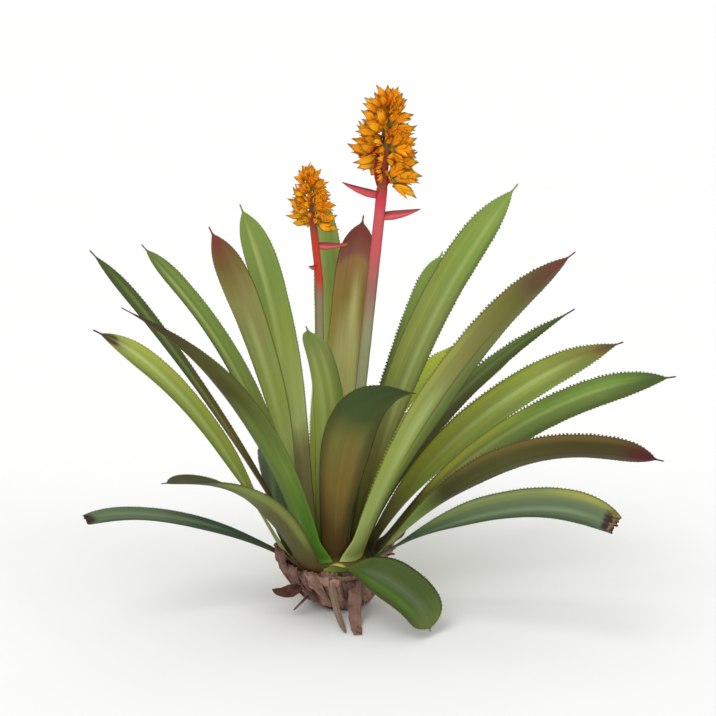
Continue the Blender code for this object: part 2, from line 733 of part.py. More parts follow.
class DryStrip(NamedTuple):
    """A dry strip or scrap: the four control points of its middle line, its side, and its widths."""

    points: tuple
    side: tuple
    widths: tuple
    half_angle: float
    pointed: bool


DRY_STRIPS = {
    "dry_strip_thick": DryStrip(
        ((0.0195, -0.0600, 0.0520), (0.0190, -0.0700, 0.0100),
         (0.0175, -0.0720, 0.0030), (0.0235, -0.1170, 0.0026)),
        (1.0, 0.0, 0.0), (0.016, 0.018, 0.018, 0.016, 0.015, 0.014, 0.011), 0.35, False),
    "dry_strip_thin": DryStrip(
        ((-0.0120, -0.0633, 0.0500), (-0.0105, -0.0740, 0.0080),
         (-0.0010, -0.0740, 0.0020), (0.0080, -0.1150, 0.0018)),
        (1.0, 0.0, 0.0), (0.008, 0.010, 0.011, 0.010, 0.009, 0.007, 0.004), 0.30, True),
    "dry_leaf_curled": DryStrip(
        ((-0.0462, -0.0440, 0.0400), (-0.0620, -0.0590, 0.0345),
         (-0.0760, -0.0600, 0.0280), (-0.0900, -0.0560, 0.0380)),
        (0.25, 0.35, 0.90), (0.006, 0.012, 0.020, 0.024, 0.021, 0.013, 0.006), 0.75, True),
    "dry_scrap_right": DryStrip(
        ((0.0440, -0.0204, 0.0572), (0.0540, -0.0240, 0.0640),
         (0.0640, -0.0280, 0.0800), (0.0720, -0.0300, 0.0770)),
        (-0.342, -0.940, 0.0), (0.010, 0.012, 0.013, 0.012, 0.010, 0.007, 0.004), 0.8, True),
    "dry_scrap_left": DryStrip(
        ((-0.0411, -0.0372, 0.0260), (-0.0495, -0.0455, 0.0200),
         (-0.0560, -0.0540, 0.0160), (-0.0610, -0.0560, 0.0100)),
        (0.6, -0.5, 0.6), (0.004, 0.006, 0.007, 0.006, 0.005, 0.004, 0.003), 0.40, True),
}


def make_dry_strip(name, strip):
    """A dry strip along its middle line."""
    last = LAST_STRIP_ROW if strip.pointed else 1.0
    shares = [last * index / (len(strip.widths) - 1) for index in range(len(strip.widths))]
    trail, _ = even_shares([Vector(place) for place in strip.points], [*shares, 1.0])
    rows = []
    for width, (place, along) in zip(strip.widths, trail):
        side = Vector(strip.side)
        rows.append((place, along, side, width, strip.half_angle, STRIP_THICKNESS, STRIP_MARGIN))
    point = trail[-1][0] if strip.pointed else None
    skin = build_blade(rows, point=point, columns=STRIP_COLUMNS)
    return add_object(name, skin.verts, skin.faces, "dry_brown")


def main():
    """Build every piece."""
    clear_scene()
    make_stump()
    for index, sheath in enumerate(DRY_SHEATHS):
        make_dry_sheath(f"dry_sheath_{index + 1}", sheath, seed=20 + index)
    for name, strip in DRY_STRIPS.items():
        make_dry_strip(name, strip)
    for name, leaf in LEAVES.items():
        make_leaf(name, leaf)
    for name, spike in SPIKES.items():
        make_stalk(f"stalk_{name}", spike)
        make_head(f"head_{name}", spike)


main()
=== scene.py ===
"""A flowering bromeliad, lifted from its pot and standing on its dry foot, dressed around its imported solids.

Every leaf, stalk and head is built again here with finer faces and close to its solid's sizes: toothed and veined
leaves, stalks with folded bracts, heads of pointed florets, and folded dry sheaths round the stump.
"""

import logging
import math
import random
from dataclasses import dataclass, field
from enum import Enum
from typing import Any, Sequence

import bpy
from mathutils import Matrix, Vector, noise


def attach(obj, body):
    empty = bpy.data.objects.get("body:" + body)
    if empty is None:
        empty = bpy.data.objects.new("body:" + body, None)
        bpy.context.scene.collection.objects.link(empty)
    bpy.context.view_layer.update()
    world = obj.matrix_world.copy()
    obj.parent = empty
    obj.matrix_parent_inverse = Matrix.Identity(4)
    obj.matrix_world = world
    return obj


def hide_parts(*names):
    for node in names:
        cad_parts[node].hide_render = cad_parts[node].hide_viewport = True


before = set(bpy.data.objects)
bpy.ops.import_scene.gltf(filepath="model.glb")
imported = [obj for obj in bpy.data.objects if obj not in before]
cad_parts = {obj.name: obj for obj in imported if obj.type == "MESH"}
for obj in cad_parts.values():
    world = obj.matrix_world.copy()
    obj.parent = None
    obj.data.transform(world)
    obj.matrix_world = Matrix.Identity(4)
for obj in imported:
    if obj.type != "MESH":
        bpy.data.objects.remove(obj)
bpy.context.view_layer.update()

LOG = logging.getLogger("bromeliad")
BODY = "root"

Colour = tuple[float, float, float, float]
Place = tuple[float, float, float]
Object = bpy.types.Object
Material = bpy.types.Material
Socket = bpy.types.NodeSocket

# The gap that a part keeps from the stump, the crown's axis and dome, the rings that the leaves stand in, the
# stump's radius at rising heights, and the turn from one cluster of florets to the next
GAP = 0.0003
CROWN_X = -0.012
CROWN_TOP = 0.072
CROWN_RADIUS = 0.060
CROWN_DROP = 0.0155
CROWN_RIM = CROWN_TOP - CROWN_DROP
CROWN_POWER = 4
RING_INNER = 0.028
RING_PITCH = 0.007
STUMP_OUTLINE = ((0.0, 0.030), (0.012, 0.040), (0.030, 0.049), (0.048, 0.056), (CROWN_RIM, CROWN_RADIUS))
GOLDEN_TURN = 137.5


class Tone(Enum):
    """The plant's colours, as red, green and blue from 0 to 255."""

    ROOT_BROWN = (90, 68, 34)
    DEEP_BROWN = (68, 54, 34)
    BURNT = (50, 36, 32)
    TAN = (158, 122, 86)
    MAROON = (122, 62, 52)
    DARK_MAROON = (84, 32, 30)
    BROWN_OLIVE = (112, 92, 46)
    OLIVE = (116, 114, 54)
    DARK_OLIVE = (66, 66, 32)
    MOSS = (96, 112, 50)
    FOREST = (70, 86, 38)
    LEAF = (122, 144, 68)
    BRIGHT = (128, 154, 70)
    VIVID = (92, 140, 44)
    FRESH = (112, 150, 58)
    SAGE = (136, 148, 80)
    LIME = (150, 164, 76)
    PALE_LIME = (178, 192, 116)
    YELLOW_GREEN = (160, 168, 62)
    GREY_GREEN = (92, 108, 78)
    PALE_GREY = (136, 156, 122)
    MAUVE_OLIVE = (140, 130, 84)
    STALK_GREY = (153, 157, 115)
    STALK_DULL = (158, 112, 98)
    STALK_TAUPE = (142, 122, 98)
    PINK = (206, 88, 94)
    SALMON = (226, 92, 100)
    ROSE = (206, 56, 78)
    CRIMSON = (168, 18, 44)
    SCARLET = (198, 58, 32)
    ORANGE = (255, 180, 26)
    # The florets' dark tips and edges; on the edges it is partly painted shade
    DEEP_ORANGE = (252, 154, 12)
    FLORET_EDGE = (108, 78, 18)
    MAUVE_BROWN = (138, 104, 92)
    PALE_BROWN = (168, 136, 118)
    STRIP_GREY = (146, 126, 106)
    RUST = (138, 84, 66)
    CHALK = (244, 244, 243)
    PAPER = (238, 238, 237)
    PALE_GOLD = (188, 184, 118)
    GOLD_BROWN = (156, 122, 74)
    OLIVE_TAN = (138, 136, 76)
    OLIVE_DUSK = (84, 82, 38)
    BROWN_MAUVE = (100, 80, 52)
    SUN_LIME = (176, 188, 66)
    SLATE_GREEN = (62, 78, 60)
    GOLD_OLIVE = (150, 130, 62)
    DULL_RED = (160, 70, 48)
    WARM_GREEN = (104, 122, 58)
    DUSKY_BROWN = (92, 66, 62)
    PINK_BROWN = (178, 140, 124)
    UMBER = (98, 62, 46)
    SILVER_LIME = (188, 202, 126)
    OCHRE_LIME = (152, 152, 64)
    MAUVE_ROSE = (136, 86, 72)
    DEEP_FOREST = (50, 66, 32)
    GOLDEN_BROWN = (124, 104, 46)
    DUSKY_OLIVE = (76, 66, 30)
    SPOT_YELLOW = (204, 198, 92)

    @property
    def rgba(self) -> Colour:
        """The colour in linear light."""
        channels = (level / 255 for level in self.value)
        return (*((c / 12.92 if c <= 0.04045 else ((c + 0.055) / 1.055) ** 2.4) for c in channels), 1.0)


class LeafEnd(Enum):
    """How a leaf ends: drawn out to a spine, or burnt back and torn."""

    SPINE = 0.978
    TORN = 1.03


# Bands are partly the leaves' own streaks and partly painted light: pale bands down a blade are painted highlight
# streaks, and dark bands along a margin are painted shade.
@dataclass(frozen=True)
class Band:
    """A band of another tone down a blade: where it lies from -1 to 1 across, and how far along it reaches."""

    tone: Tone
    at: float
    half: float
    strength: float = 0.6
    start: float = 0.12
    stop: float = 0.88


Stops = tuple[tuple[float, Tone], ...]


def smoothstep(value: float) -> float:
    """0 to 1 with level ends."""
    value = min(max(value, 0.0), 1.0)
    return value * value * (3.0 - 2.0 * value)


def ease(value: float, start: float, length: float) -> float:
    """0 up to the start, 1 from a length further on, and smooth between."""
    return smoothstep((value - start) / length)


def mix(start: float, end: float, share: float) -> float:
    """The value that lies a share of the way from start to end."""
    return start + (end - start) * share


def compass(degrees: float, elevation: float = 0.0) -> Vector:
    """The unit vector at a turn from +X towards +Y and an elevation above the ground."""
    turn, rise = math.radians(degrees), math.radians(elevation)
    return Vector((math.cos(turn) * math.cos(rise), math.sin(turn) * math.cos(rise), math.sin(rise)))


def rotated(vector: Vector, degrees: float, axis: Vector) -> Vector:
    """A vector turned about an axis."""
    return Matrix.Rotation(math.radians(degrees), 3, axis) @ vector


def spaced(count: int, last: float = 1.0) -> list[float]:
    """Evenly spaced shares from 0 to the last."""
    return [last * k / (count - 1) for k in range(count)]


def read_off(outline: Sequence[tuple[float, float]], at: float) -> float:
    """The value at a place on a line of straight stretches.

    Args:
        outline: Rising places and the values there.
        at: The place.

    Returns:
        The value, or the outline's last one beyond its end.
    """
    for (low, first), (high, second) in zip(outline, outline[1:]):
        if at <= high:
            return mix(first, second, (at - low) / (high - low))
    return outline[-1][1]


def bezier(points: Sequence[Vector], share: float) -> Vector:
    """The point a share of the way along a cubic Bezier curve.

    Args:
        points: The curve's four control points.
        share: From 0 at the first to 1 at the last.

    Returns:
        The point.
    """
    rest = 1.0 - share
    return (points[0] * rest**3 + points[1] * 3 * rest**2 * share
            + points[2] * 3 * rest * share**2 + points[3] * share**3)


def even_shares(points: Sequence[Vector], shares: Sequence[float], samples: int = 120) -> list[tuple[Vector, Vector]]:
    """Places and unit directions at shares of a Bezier curve's length.

    Args:
        points: The curve's four control points.
        shares: Rising shares of the length.
        samples: How finely the curve is measured.

    Returns:
        A place and a direction for each share.
    """
    trail = [bezier(points, k / samples) for k in range(samples + 1)]
    lengths = [0.0]
    for before, after in zip(trail, trail[1:]):
        lengths.append(lengths[-1] + (after - before).length)
    found = []
    for share in shares:
        wanted = share * lengths[-1]
        k = next((i for i in range(samples) if lengths[i + 1] >= wanted), samples - 1)
        part = (wanted - lengths[k]) / (lengths[k + 1] - lengths[k])
        low, high = trail[max(k - 2, 0)], trail[min(k + 3, samples)]
        found.append((trail[k].lerp(trail[k + 1], part), (high - low).normalized()))
    return found


def ripple(place: Vector, scale: float, seed: float = 0.0) -> float:
    """Smooth noise from -1 to 1 at a place."""
    return noise.noise(place * scale + Vector((seed, seed * 1.7, seed * 0.3)))


class Wire:
    """A number on its way between shader nodes, which Python's arithmetic works on."""

    def __init__(self, graph: "Paint", socket: Socket) -> None:
        """Keep the socket and the graph that it is in."""
        self.graph = graph
        self.socket = socket

    def __add__(self, other: "Wire | float") -> "Wire":
        """self + other."""
        return self.graph.math("ADD", self, other)

    def __sub__(self, other: "Wire | float") -> "Wire":
        """self - other."""
        return self.graph.math("SUBTRACT", self, other)

    def __rsub__(self, other: "Wire | float") -> "Wire":
        """other - self."""
        return self.graph.math("SUBTRACT", other, self)

    def __mul__(self, other: "Wire | float") -> "Wire":
        """self * other."""
        return self.graph.math("MULTIPLY", self, other)

    def __truediv__(self, other: "Wire | float") -> "Wire":
        """self / other."""
        return self.graph.math("DIVIDE", self, other)

    def __abs__(self) -> "Wire":
        """The size of self."""
        return self.graph.math("ABSOLUTE", self)

    __radd__ = __add__


class Paint:
    """A material's node graph, with one Principled shader at its end."""

    BUMP = 0.8

    def __init__(self, name: str, roughness: float, specular: float = 0.4) -> None:
        """Start a material.

        Args:
            name: The material's name.
            roughness: The shader's roughness where nothing is linked to it.
            specular: The shader's specular level.
        """
        self.material = bpy.data.materials.new(name)
        self.material.use_nodes = True
        self.tree = self.material.node_tree
        self.tree.nodes.clear()
        self.shader = self.tree.nodes.new("ShaderNodeBsdfPrincipled")
        self.shader.inputs["Roughness"].default_value = roughness
        self.shader.inputs["Specular IOR Level"].default_value = specular
        output = self.tree.nodes.new("ShaderNodeOutputMaterial")
        self.tree.links.new(self.shader.outputs[0], output.inputs["Surface"])

    def feed(self, socket: Socket, value: Any) -> None:
        """Link a wire to a socket, or set the socket's value.

        Args:
            socket: The input socket.
            value: A wire, a tone, a number or a tuple.
        """
        if isinstance(value, Wire):
            self.tree.links.new(value.socket, socket)
        else:
            socket.default_value = value.rgba if isinstance(value, Tone) else value

    def node(self, kind: str, settings: dict[str, Any], inputs: dict[str | int, Any],
             output: str | int = 0) -> Wire:
        """Add any node.

        Args:
            kind: The node's type.
            settings: Its properties, and "stops" for a ramp, which are set first.
            inputs: Its sockets' values or links, by name or number.
            output: The output socket that is wanted.

        Returns:
            The wire from that output.
        """
        made = self.tree.nodes.new(kind)
        for name, value in settings.items():
            if name == "stops":
                self.set_stops(made.color_ramp, value)
            else:
                setattr(made, name, value)
        for key, value in inputs.items():
            self.feed(made.inputs[key], value)
        return Wire(self, made.outputs[output])

    @staticmethod
    def set_stops(ramp: bpy.types.ColorRamp, stops: Stops) -> None:
        """Give a colour ramp its stops.

        Args:
            ramp: The ramp.
            stops: Places and tones, in rising order.
        """
        while len(ramp.elements) > 1:
            ramp.elements.remove(ramp.elements[-1])
        ramp.elements[0].position, ramp.elements[0].color = stops[0][0], stops[0][1].rgba
        for place, tone in stops[1:]:
            ramp.elements.new(place).color = tone.rgba

    def math(self, operation: str, *values: Wire | float) -> Wire:
        """A Math node on numbers."""
        return self.node("ShaderNodeMath", {"operation": operation}, dict(enumerate(values)))

    def ramp(self, amount: Wire, stops: Stops) -> Wire:
        """A colour read off a ramp."""
        return self.node("ShaderNodeValToRGB", {"stops": stops}, {"Fac": amount})

    def blend(self, amount: Wire | float, first: Any, second: Any, way: str = "MIX") -> Wire:
        """Mix two colours.

        Args:
            amount: How much of the second.
            first: A wire or a tone.
            second: A wire or a tone.
            way: The kind of mix.

        Returns:
            The mixed colour.
        """
        settings = {"data_type": "RGBA", "blend_type": way, "clamp_factor": True}
        return self.node("ShaderNodeMix", settings, {0: amount, 6: first, 7: second}, 2)

    def scaled(self, colour: Wire, factor: Wire) -> Wire:
        """A colour made lighter or darker by a number."""
        return self.node("ShaderNodeVectorMath", {"operation": "SCALE"}, {0: colour, "Scale": factor})

    def step(self, amount: Wire, low: float, high: float) -> Wire:
        """0 below low, 1 above high, smooth between."""
        sockets = {"Value": amount, "From Min": low, "From Max": high}
        return self.node("ShaderNodeMapRange", {"interpolation_type": "SMOOTHSTEP"}, sockets)

    def attribute(self, name: str) -> Wire:
        """A number that the mesh carries at its points."""
        return self.node("ShaderNodeAttribute", {"attribute_name": name}, {}, "Fac")

    def place(self) -> Wire:
        """Object coordinates."""
        return self.node("ShaderNodeTexCoord", {}, {}, "Object")

    def height(self, place: Wire) -> Wire:
        """How far up a place lies."""
        return self.node("ShaderNodeSeparateXYZ", {}, {0: place}, "Z")

    def joined(self, x: Wire | float, y: Wire | float, z: Wire | float) -> Wire:
        """A vector from three numbers."""
        return self.node("ShaderNodeCombineXYZ", {}, {0: x, 1: y, 2: z})

    def cloud(self, vector: Wire, scale: float, detail: float = 3.0, rough: float = 0.55) -> Wire:
        """Noise from 0 to 1."""
        sockets = {"Vector": vector, "Scale": scale, "Detail": detail, "Roughness": rough}
        return self.node("ShaderNodeTexNoise", {}, sockets, "Fac")

    def finish(self, colour: Wire, roughness: Wire | None = None, height: Wire | None = None,
               depth: float = 0.0003) -> Material:
        """Link what changes over the surface to the shader.

        Args:
            colour: The base colour.
            roughness: The roughness, or None where it is the same all over.
            height: What a bump is made from, or None.
            depth: The bump's depth in metres.

        Returns:
            The material.
        """
        self.feed(self.shader.inputs["Base Color"], colour)
        if roughness is not None:
            self.feed(self.shader.inputs["Roughness"], roughness)
        if height is not None:
            bump = self.node("ShaderNodeBump", {}, {"Strength": self.BUMP, "Distance": depth, "Height": height})
            self.feed(self.shader.inputs["Normal"], bump)
        return self.material


@dataclass(frozen=True)
class LeafFinish:
    """How one leaf is coloured from its root to its tip.

    faces holds the ramp's stops along the leaf, and bands lie over it. ragged says how far the noise moves
    the colours along the blade, and bow how much they reach further up at its middle.
    """

    faces: Stops
    bands: tuple[Band, ...] = ()
    margin: Tone = Tone.DARK_OLIVE
    ragged: float = 0.05
    bow: float = 0.03

    def material(self, name: str, seed: int) -> Material:
        """The leaf's material.

        Args:
            name: The leaf's name.
            seed: What sets its noise apart from the other leaves'.

        Returns:
            The material.
        """
        paint = Paint(f"{name}_skin", 0.5, 0.16)
        along, across, tooth = (paint.attribute(word) for word in ("along", "across", "tooth"))
        wide = paint.cloud(paint.joined(across * 2.4 + seed, along * 0.8, seed * 0.37), 1.0, 2.0, 0.5)
        stripes = paint.cloud(paint.joined(across * 7.0 + seed, along * 0.9, seed * 0.7), 1.5, 4.0, 0.65)
        lines = paint.cloud(paint.joined(across * 40.0, along * 1.3, seed * 1.9), 1.0, 2.0, 0.6)
        blotch = paint.cloud(paint.place(), 24.0, 3.0)
        edge = abs(across)
        reading = along + (stripes - 0.5) * self.ragged + (blotch - 0.5) * self.ragged - edge * edge * self.bow
        colour = paint.ramp(reading, self.faces)
        # Pale bands lay painted highlight streaks, and dark bands along a margin lay painted shade.
        for band in self.bands:
            beside = abs(across - band.at) / band.half + (stripes - 0.5) * 0.7
            reach = paint.step(along, band.start - 0.08, band.start + 0.08)
            reach = reach * (1.0 - paint.step(along, band.stop - 0.08, band.stop + 0.08))
            mask = (1.0 - paint.step(beside, 0.0, 1.15)) * reach * (wide + stripes)
            colour = paint.blend(mask * band.strength, colour, band.tone)
        colour = paint.blend(paint.step(edge, 0.91, 1.0) * 0.28, colour, self.margin)
        light = 0.58 + stripes * 0.40 + lines * 0.30 + wide * 0.10 + blotch * 0.08
        colour = paint.scaled(colour, light)
        colour = paint.blend(tooth * 0.15, colour, Tone.ROOT_BROWN)
        return paint.finish(colour, 0.44 + blotch * 0.12 + lines * 0.08, lines * 0.7 + stripes * 0.6, 0.0005)


@dataclass(frozen=True)
class StalkFinish:
    """A stalk's colours by height, in metres above the floor, with two dark stripes of painted shade down its sides.
    """

    stops: Stops
    low: float
    high: float
    # The tone and strength of the painted shade down the stalk's two sides
    side_shade: Tone = Tone.MAROON
    side_shade_strength: float = 0.65

    def material(self, name: str) -> Material:
        """The stalk's material, with fine ribs along it.

        Args:
            name: What the material is named after.

        Returns:
            The material.
        """
        paint = Paint(f"{name}_skin", 0.46, 0.2)
        place = paint.place()
        height = paint.height(place)
        front, flank = paint.attribute("front"), paint.attribute("flank")
        flecks = paint.cloud(place, 60.0, 3.0)
        reading = (height - self.low) / (self.high - self.low) + (flecks - 0.5) * 0.03
        ribs = paint.cloud(paint.joined(front * 4.0, flank * 4.0, height * 9.0), 1.0, 3.0, 0.6)
        colour = paint.scaled(paint.ramp(reading, self.stops), 0.74 + ribs * 0.34 + flecks * 0.14)
        # Painted shade: dark stripes down the stalk's two sides stand in for the shade at its edges.
        colour = paint.blend(paint.step(abs(flank), 0.78, 0.94) * self.side_shade_strength, colour, self.side_shade)
        return paint.finish(colour, 0.40 + flecks * 0.16, ribs, 0.0004)


@dataclass(frozen=True)
class BractFinish:
    """A bract's body, its dark upper rim, partly painted shade that spreads over the outer face, and its tip."""

    body: Tone
    rim: Tone
    tip: Tone
    rim_reach: float = 0.25

    OUTER_SHADE_REACH = 0.6

    def material(self, name: str) -> Material:
        """The bract's material, with fine lines from root to tip.

        Args:
            name: What the material is named after.

        Returns:
            The material.
        """
        paint = Paint(f"{name}_skin", 0.46, 0.2)
        along, across, upper = (paint.attribute(word) for word in ("along", "across", "upper"))
        lines = paint.cloud(paint.joined(across * 9.0, along * 1.6, 4.0), 1.4, 3.0, 0.6)
        # Partly painted shade: on the outer face, where upper is 0, the dark rim reaches much further down.
        ragged = (lines - 0.5) * 0.3 + (1.0 - upper) * self.OUTER_SHADE_REACH
        colour = paint.blend(paint.step(along + (lines - 0.5) * 0.3, 0.80, 1.0) * 0.9, self.body, self.tip)
        upper_edge_and_shade = paint.step(across + along * 0.25 + ragged, self.rim_reach, self.rim_reach + 0.5)
        lower_edge = paint.step(0.0 - across, 0.84, 1.0) * 0.5
        colour = paint.blend(upper_edge_and_shade * 0.85, colour, self.rim)
        colour = paint.blend(lower_edge, colour, self.rim)
        colour = paint.scaled(colour, 0.78 + lines * 0.40)
        return paint.finish(colour, 0.42 + lines * 0.12, lines, 0.0004)


@dataclass(frozen=True)
class FloretFinish:
    """The florets' two oranges, their dark tips, their dark edges that are partly painted shade, and painted shade at
    their bases.
    """

    light: Tone = Tone.ORANGE
    deep: Tone = Tone.DEEP_ORANGE
    edge: Tone = Tone.FLORET_EDGE
    base_shade: Tone = Tone.OLIVE

    def material(self, name: str) -> Material:
        """The florets' material.

        Args:
            name: What the material is named after.

        Returns:
            The material.
        """
        paint = Paint(f"{name}_skin", 0.5, 0.15)
        along, across = paint.attribute("along"), paint.attribute("across")
        shade = paint.attribute("shade")
        lines = paint.cloud(paint.joined(across * 4.0, along * 1.6, shade * 30.0), 1.6, 3.0, 0.65)
        colour = paint.blend(paint.step(shade * 0.5 + lines * 0.5, 0.30, 0.75), self.light, self.deep)
        # The darker rim is partly the florets' own dark edge line and partly painted shade.
        rim = paint.step(abs(across) + (lines - 0.5) * 0.5, 0.66, 1.05) * 0.75
        tip = paint.step(along + (lines - 0.5) * 0.45, 0.66, 0.96) * 0.9
        # Painted shade: the olive at each floret's base, where it sinks into the head.
        for mask, tone in ((1.0 - paint.step(along, 0.0, 0.22), self.base_shade), (rim, self.edge), (tip, self.edge)):
            colour = paint.blend(mask, colour, tone)
        return paint.finish(colour, 0.44 + lines * 0.15, lines, 0.0003)


@dataclass(frozen=True)
class DryFinish:
    """Dry, papery leaf tissue: a main colour, what it pales to in patches and as painted highlight on ridges, and the
    painted shade that it darkens to in hollows.
    """

    body: Tone
    pale: Tone
    dark: Tone
    grain: float = 1.0

    def material(self, name: str) -> Material:
        """The dry tissue's material, with fibres along it.

        Args:
            name: What the material is named after.

        Returns:
            The material.
        """
        paint = Paint(f"{name}_skin", 0.86, 0.12)
        along, across, fold = (paint.attribute(word) for word in ("along", "across", "fold"))
        place = paint.place()
        fibres = paint.cloud(paint.joined(across * 22.0, along * 2.4, 1.0), self.grain, 4.0, 0.65)
        blotch = paint.cloud(place, 42.0, 4.0, 0.6)
        flush = paint.cloud(place, 95.0, 2.0, 0.5)
        colour = paint.blend(paint.step(blotch * 0.6 + fibres * 0.4, 0.36, 0.62), self.pale, self.body)
        colour = paint.blend(paint.step(flush, 0.56, 0.74) * 0.45, colour, Tone.RUST)
        # Painted shade: darker where the fold height is low, in the hollows.
        hollow_shade = 1.0 - paint.step(fold + (fibres - 0.5) * 0.3, 0.10, 0.42)
        colour = paint.blend(hollow_shade * 0.75, colour, self.dark)
        # Painted highlight: paler where the fold height is high, on the ridges.
        ridge_highlight = paint.step(fold + (fibres - 0.5) * 0.3, 0.62, 0.95)
        colour = paint.blend(ridge_highlight * 0.4, colour, self.pale)
        colour = paint.scaled(colour, 0.80 + fibres * 0.36)
        return paint.finish(colour, 0.78 + fibres * 0.16, fibres + blotch * 0.6, 0.0007)


@dataclass(frozen=True)
class StumpFinish:
    """The woody stem's brown, ringed with leaf scars, and the pale leaf-base tissue over its crown."""

    body: Tone = Tone.DEEP_BROWN
    pale: Tone = Tone.MAUVE_BROWN
    crown: Tone = Tone.BROWN_OLIVE
    crown_deep: Tone = Tone.OLIVE_DUSK
    spot: Tone = Tone.SPOT_YELLOW

    SPOT_PLACE = (-0.003, -0.048, 0.064)
    SPOT_REACH = (0.006, 0.013)

    def material(self, name: str) -> Material:
        """The stump's material.

        Args:
            name: What the material is named after.

        Returns:
            The material.
        """
        paint = Paint(f"{name}_skin", 0.85, 0.12)
        place = paint.place()
        height = paint.height(place)
        pith = paint.cloud(place, 120.0, 5.0, 0.65)
        patch = paint.cloud(place, 38.0, 3.0, 0.6)
        wave = paint.math("SINE", height * 900.0 + pith * 9.0) * 0.5 + 0.5
        colour = paint.blend(pith * 0.7 + wave * 0.3, self.body, self.pale)
        green = paint.blend(paint.step(patch, 0.38, 0.62), self.crown, self.crown_deep)
        away = paint.node("ShaderNodeVectorMath", {"operation": "DISTANCE"}, {0: place, 1: self.SPOT_PLACE}, "Value")
        green = paint.blend(1.0 - paint.step(away, *self.SPOT_REACH), green, self.spot)
        reach = paint.step(height + (patch - 0.5) * 0.004, CROWN_RIM, CROWN_RIM + 0.003)
        colour = paint.blend(reach, colour, green)
        return paint.finish(colour, 0.72 + pith * 0.2, pith + wave * 0.5, 0.0010)


@dataclass(frozen=True)
class FloorFinish:
    """The plain pale floor."""

    tone: Tone = Tone.CHALK
    shade: Tone = Tone.PAPER

    def material(self, name: str) -> Material:
        """The floor's material, with the faintest mottle.

        Args:
            name: The material's name.

        Returns:
            The material.
        """
        paint = Paint(name, 0.9, 0.1)
        mottle = paint.cloud(paint.place(), 3.0, 2.0)
        return paint.finish(paint.blend(mottle, self.tone, self.shade))


class Skin:
    """Points, faces and point attributes of one mesh, gathered bit by bit."""

    def __init__(self) -> None:
        """Start empty."""
        self.points: list[Vector] = []
        self.faces: list[tuple[int, ...]] = []
        self.edges: list[tuple[int, int]] = []
        self.numbers: dict[str, list[float]] = {}
        self.vectors: dict[str, list[Vector]] = {}

    def point(self, place: Vector, numbers: dict[str, float], vectors: dict[str, Vector] | None = None) -> int:
        """Add a point with its attributes.

        Args:
            place: Where it is.
            numbers: Its number attributes.
            vectors: Its vector attributes.

        Returns:
            Its index.
        """
        self.points.append(place)
        for name, value in numbers.items():
            self.numbers.setdefault(name, []).append(value)
        for name, vector in (vectors or {}).items():
            self.vectors.setdefault(name, []).append(vector)
        return len(self.points) - 1

    def ring_wall(self, low: Sequence[int], high: Sequence[int]) -> None:
        """Faces between two rings of as many points.

        Args:
            low: One ring's points.
            high: The other's, in the same order.
        """
        for k in range(len(low)):
            other = (k + 1) % len(low)
            self.faces.append((low[k], low[other], high[other], high[k]))

    def crumple(self, rate: float, seed: int) -> None:
        """Give each point how far it stands out on a fold, from 0 to 1."""
        self.numbers["fold"] = [0.5 + 0.5 * ripple(place, rate, seed) for place in self.points]

    def build(self, name: str, material: Material | None = None) -> Object:
        """Make the mesh an object in the scene.

        Args:
            name: The object's name.
            material: Its material, or None.

        Returns:
            The object.
        """
        mesh = bpy.data.meshes.new(name)
        mesh.from_pydata([tuple(place) for place in self.points], self.edges, self.faces)
        for word, values in self.numbers.items():
            kind = "BOOLEAN" if word == "margin" else "FLOAT"
            mesh.attributes.new(word, kind, "POINT").data.foreach_set("value", values)
        for word, vectors in self.vectors.items():
            flat = [part for vector in vectors for part in vector]
            mesh.attributes.new(word, "FLOAT_VECTOR", "POINT").data.foreach_set("vector", flat)
        if self.faces:
            mesh.shade_smooth()
        if material is not None:
            mesh.materials.append(material)
        obj = bpy.data.objects.new(name, mesh)
        bpy.context.scene.collection.objects.link(obj)
        return obj


class Knob(Enum):
    """The kinds of named input that a geometry tree may have."""

    NUMBER = "NodeSocketFloat"
    COUNT = "NodeSocketInt"
    MATERIAL = "NodeSocketMaterial"
    OBJECT = "NodeSocketObject"


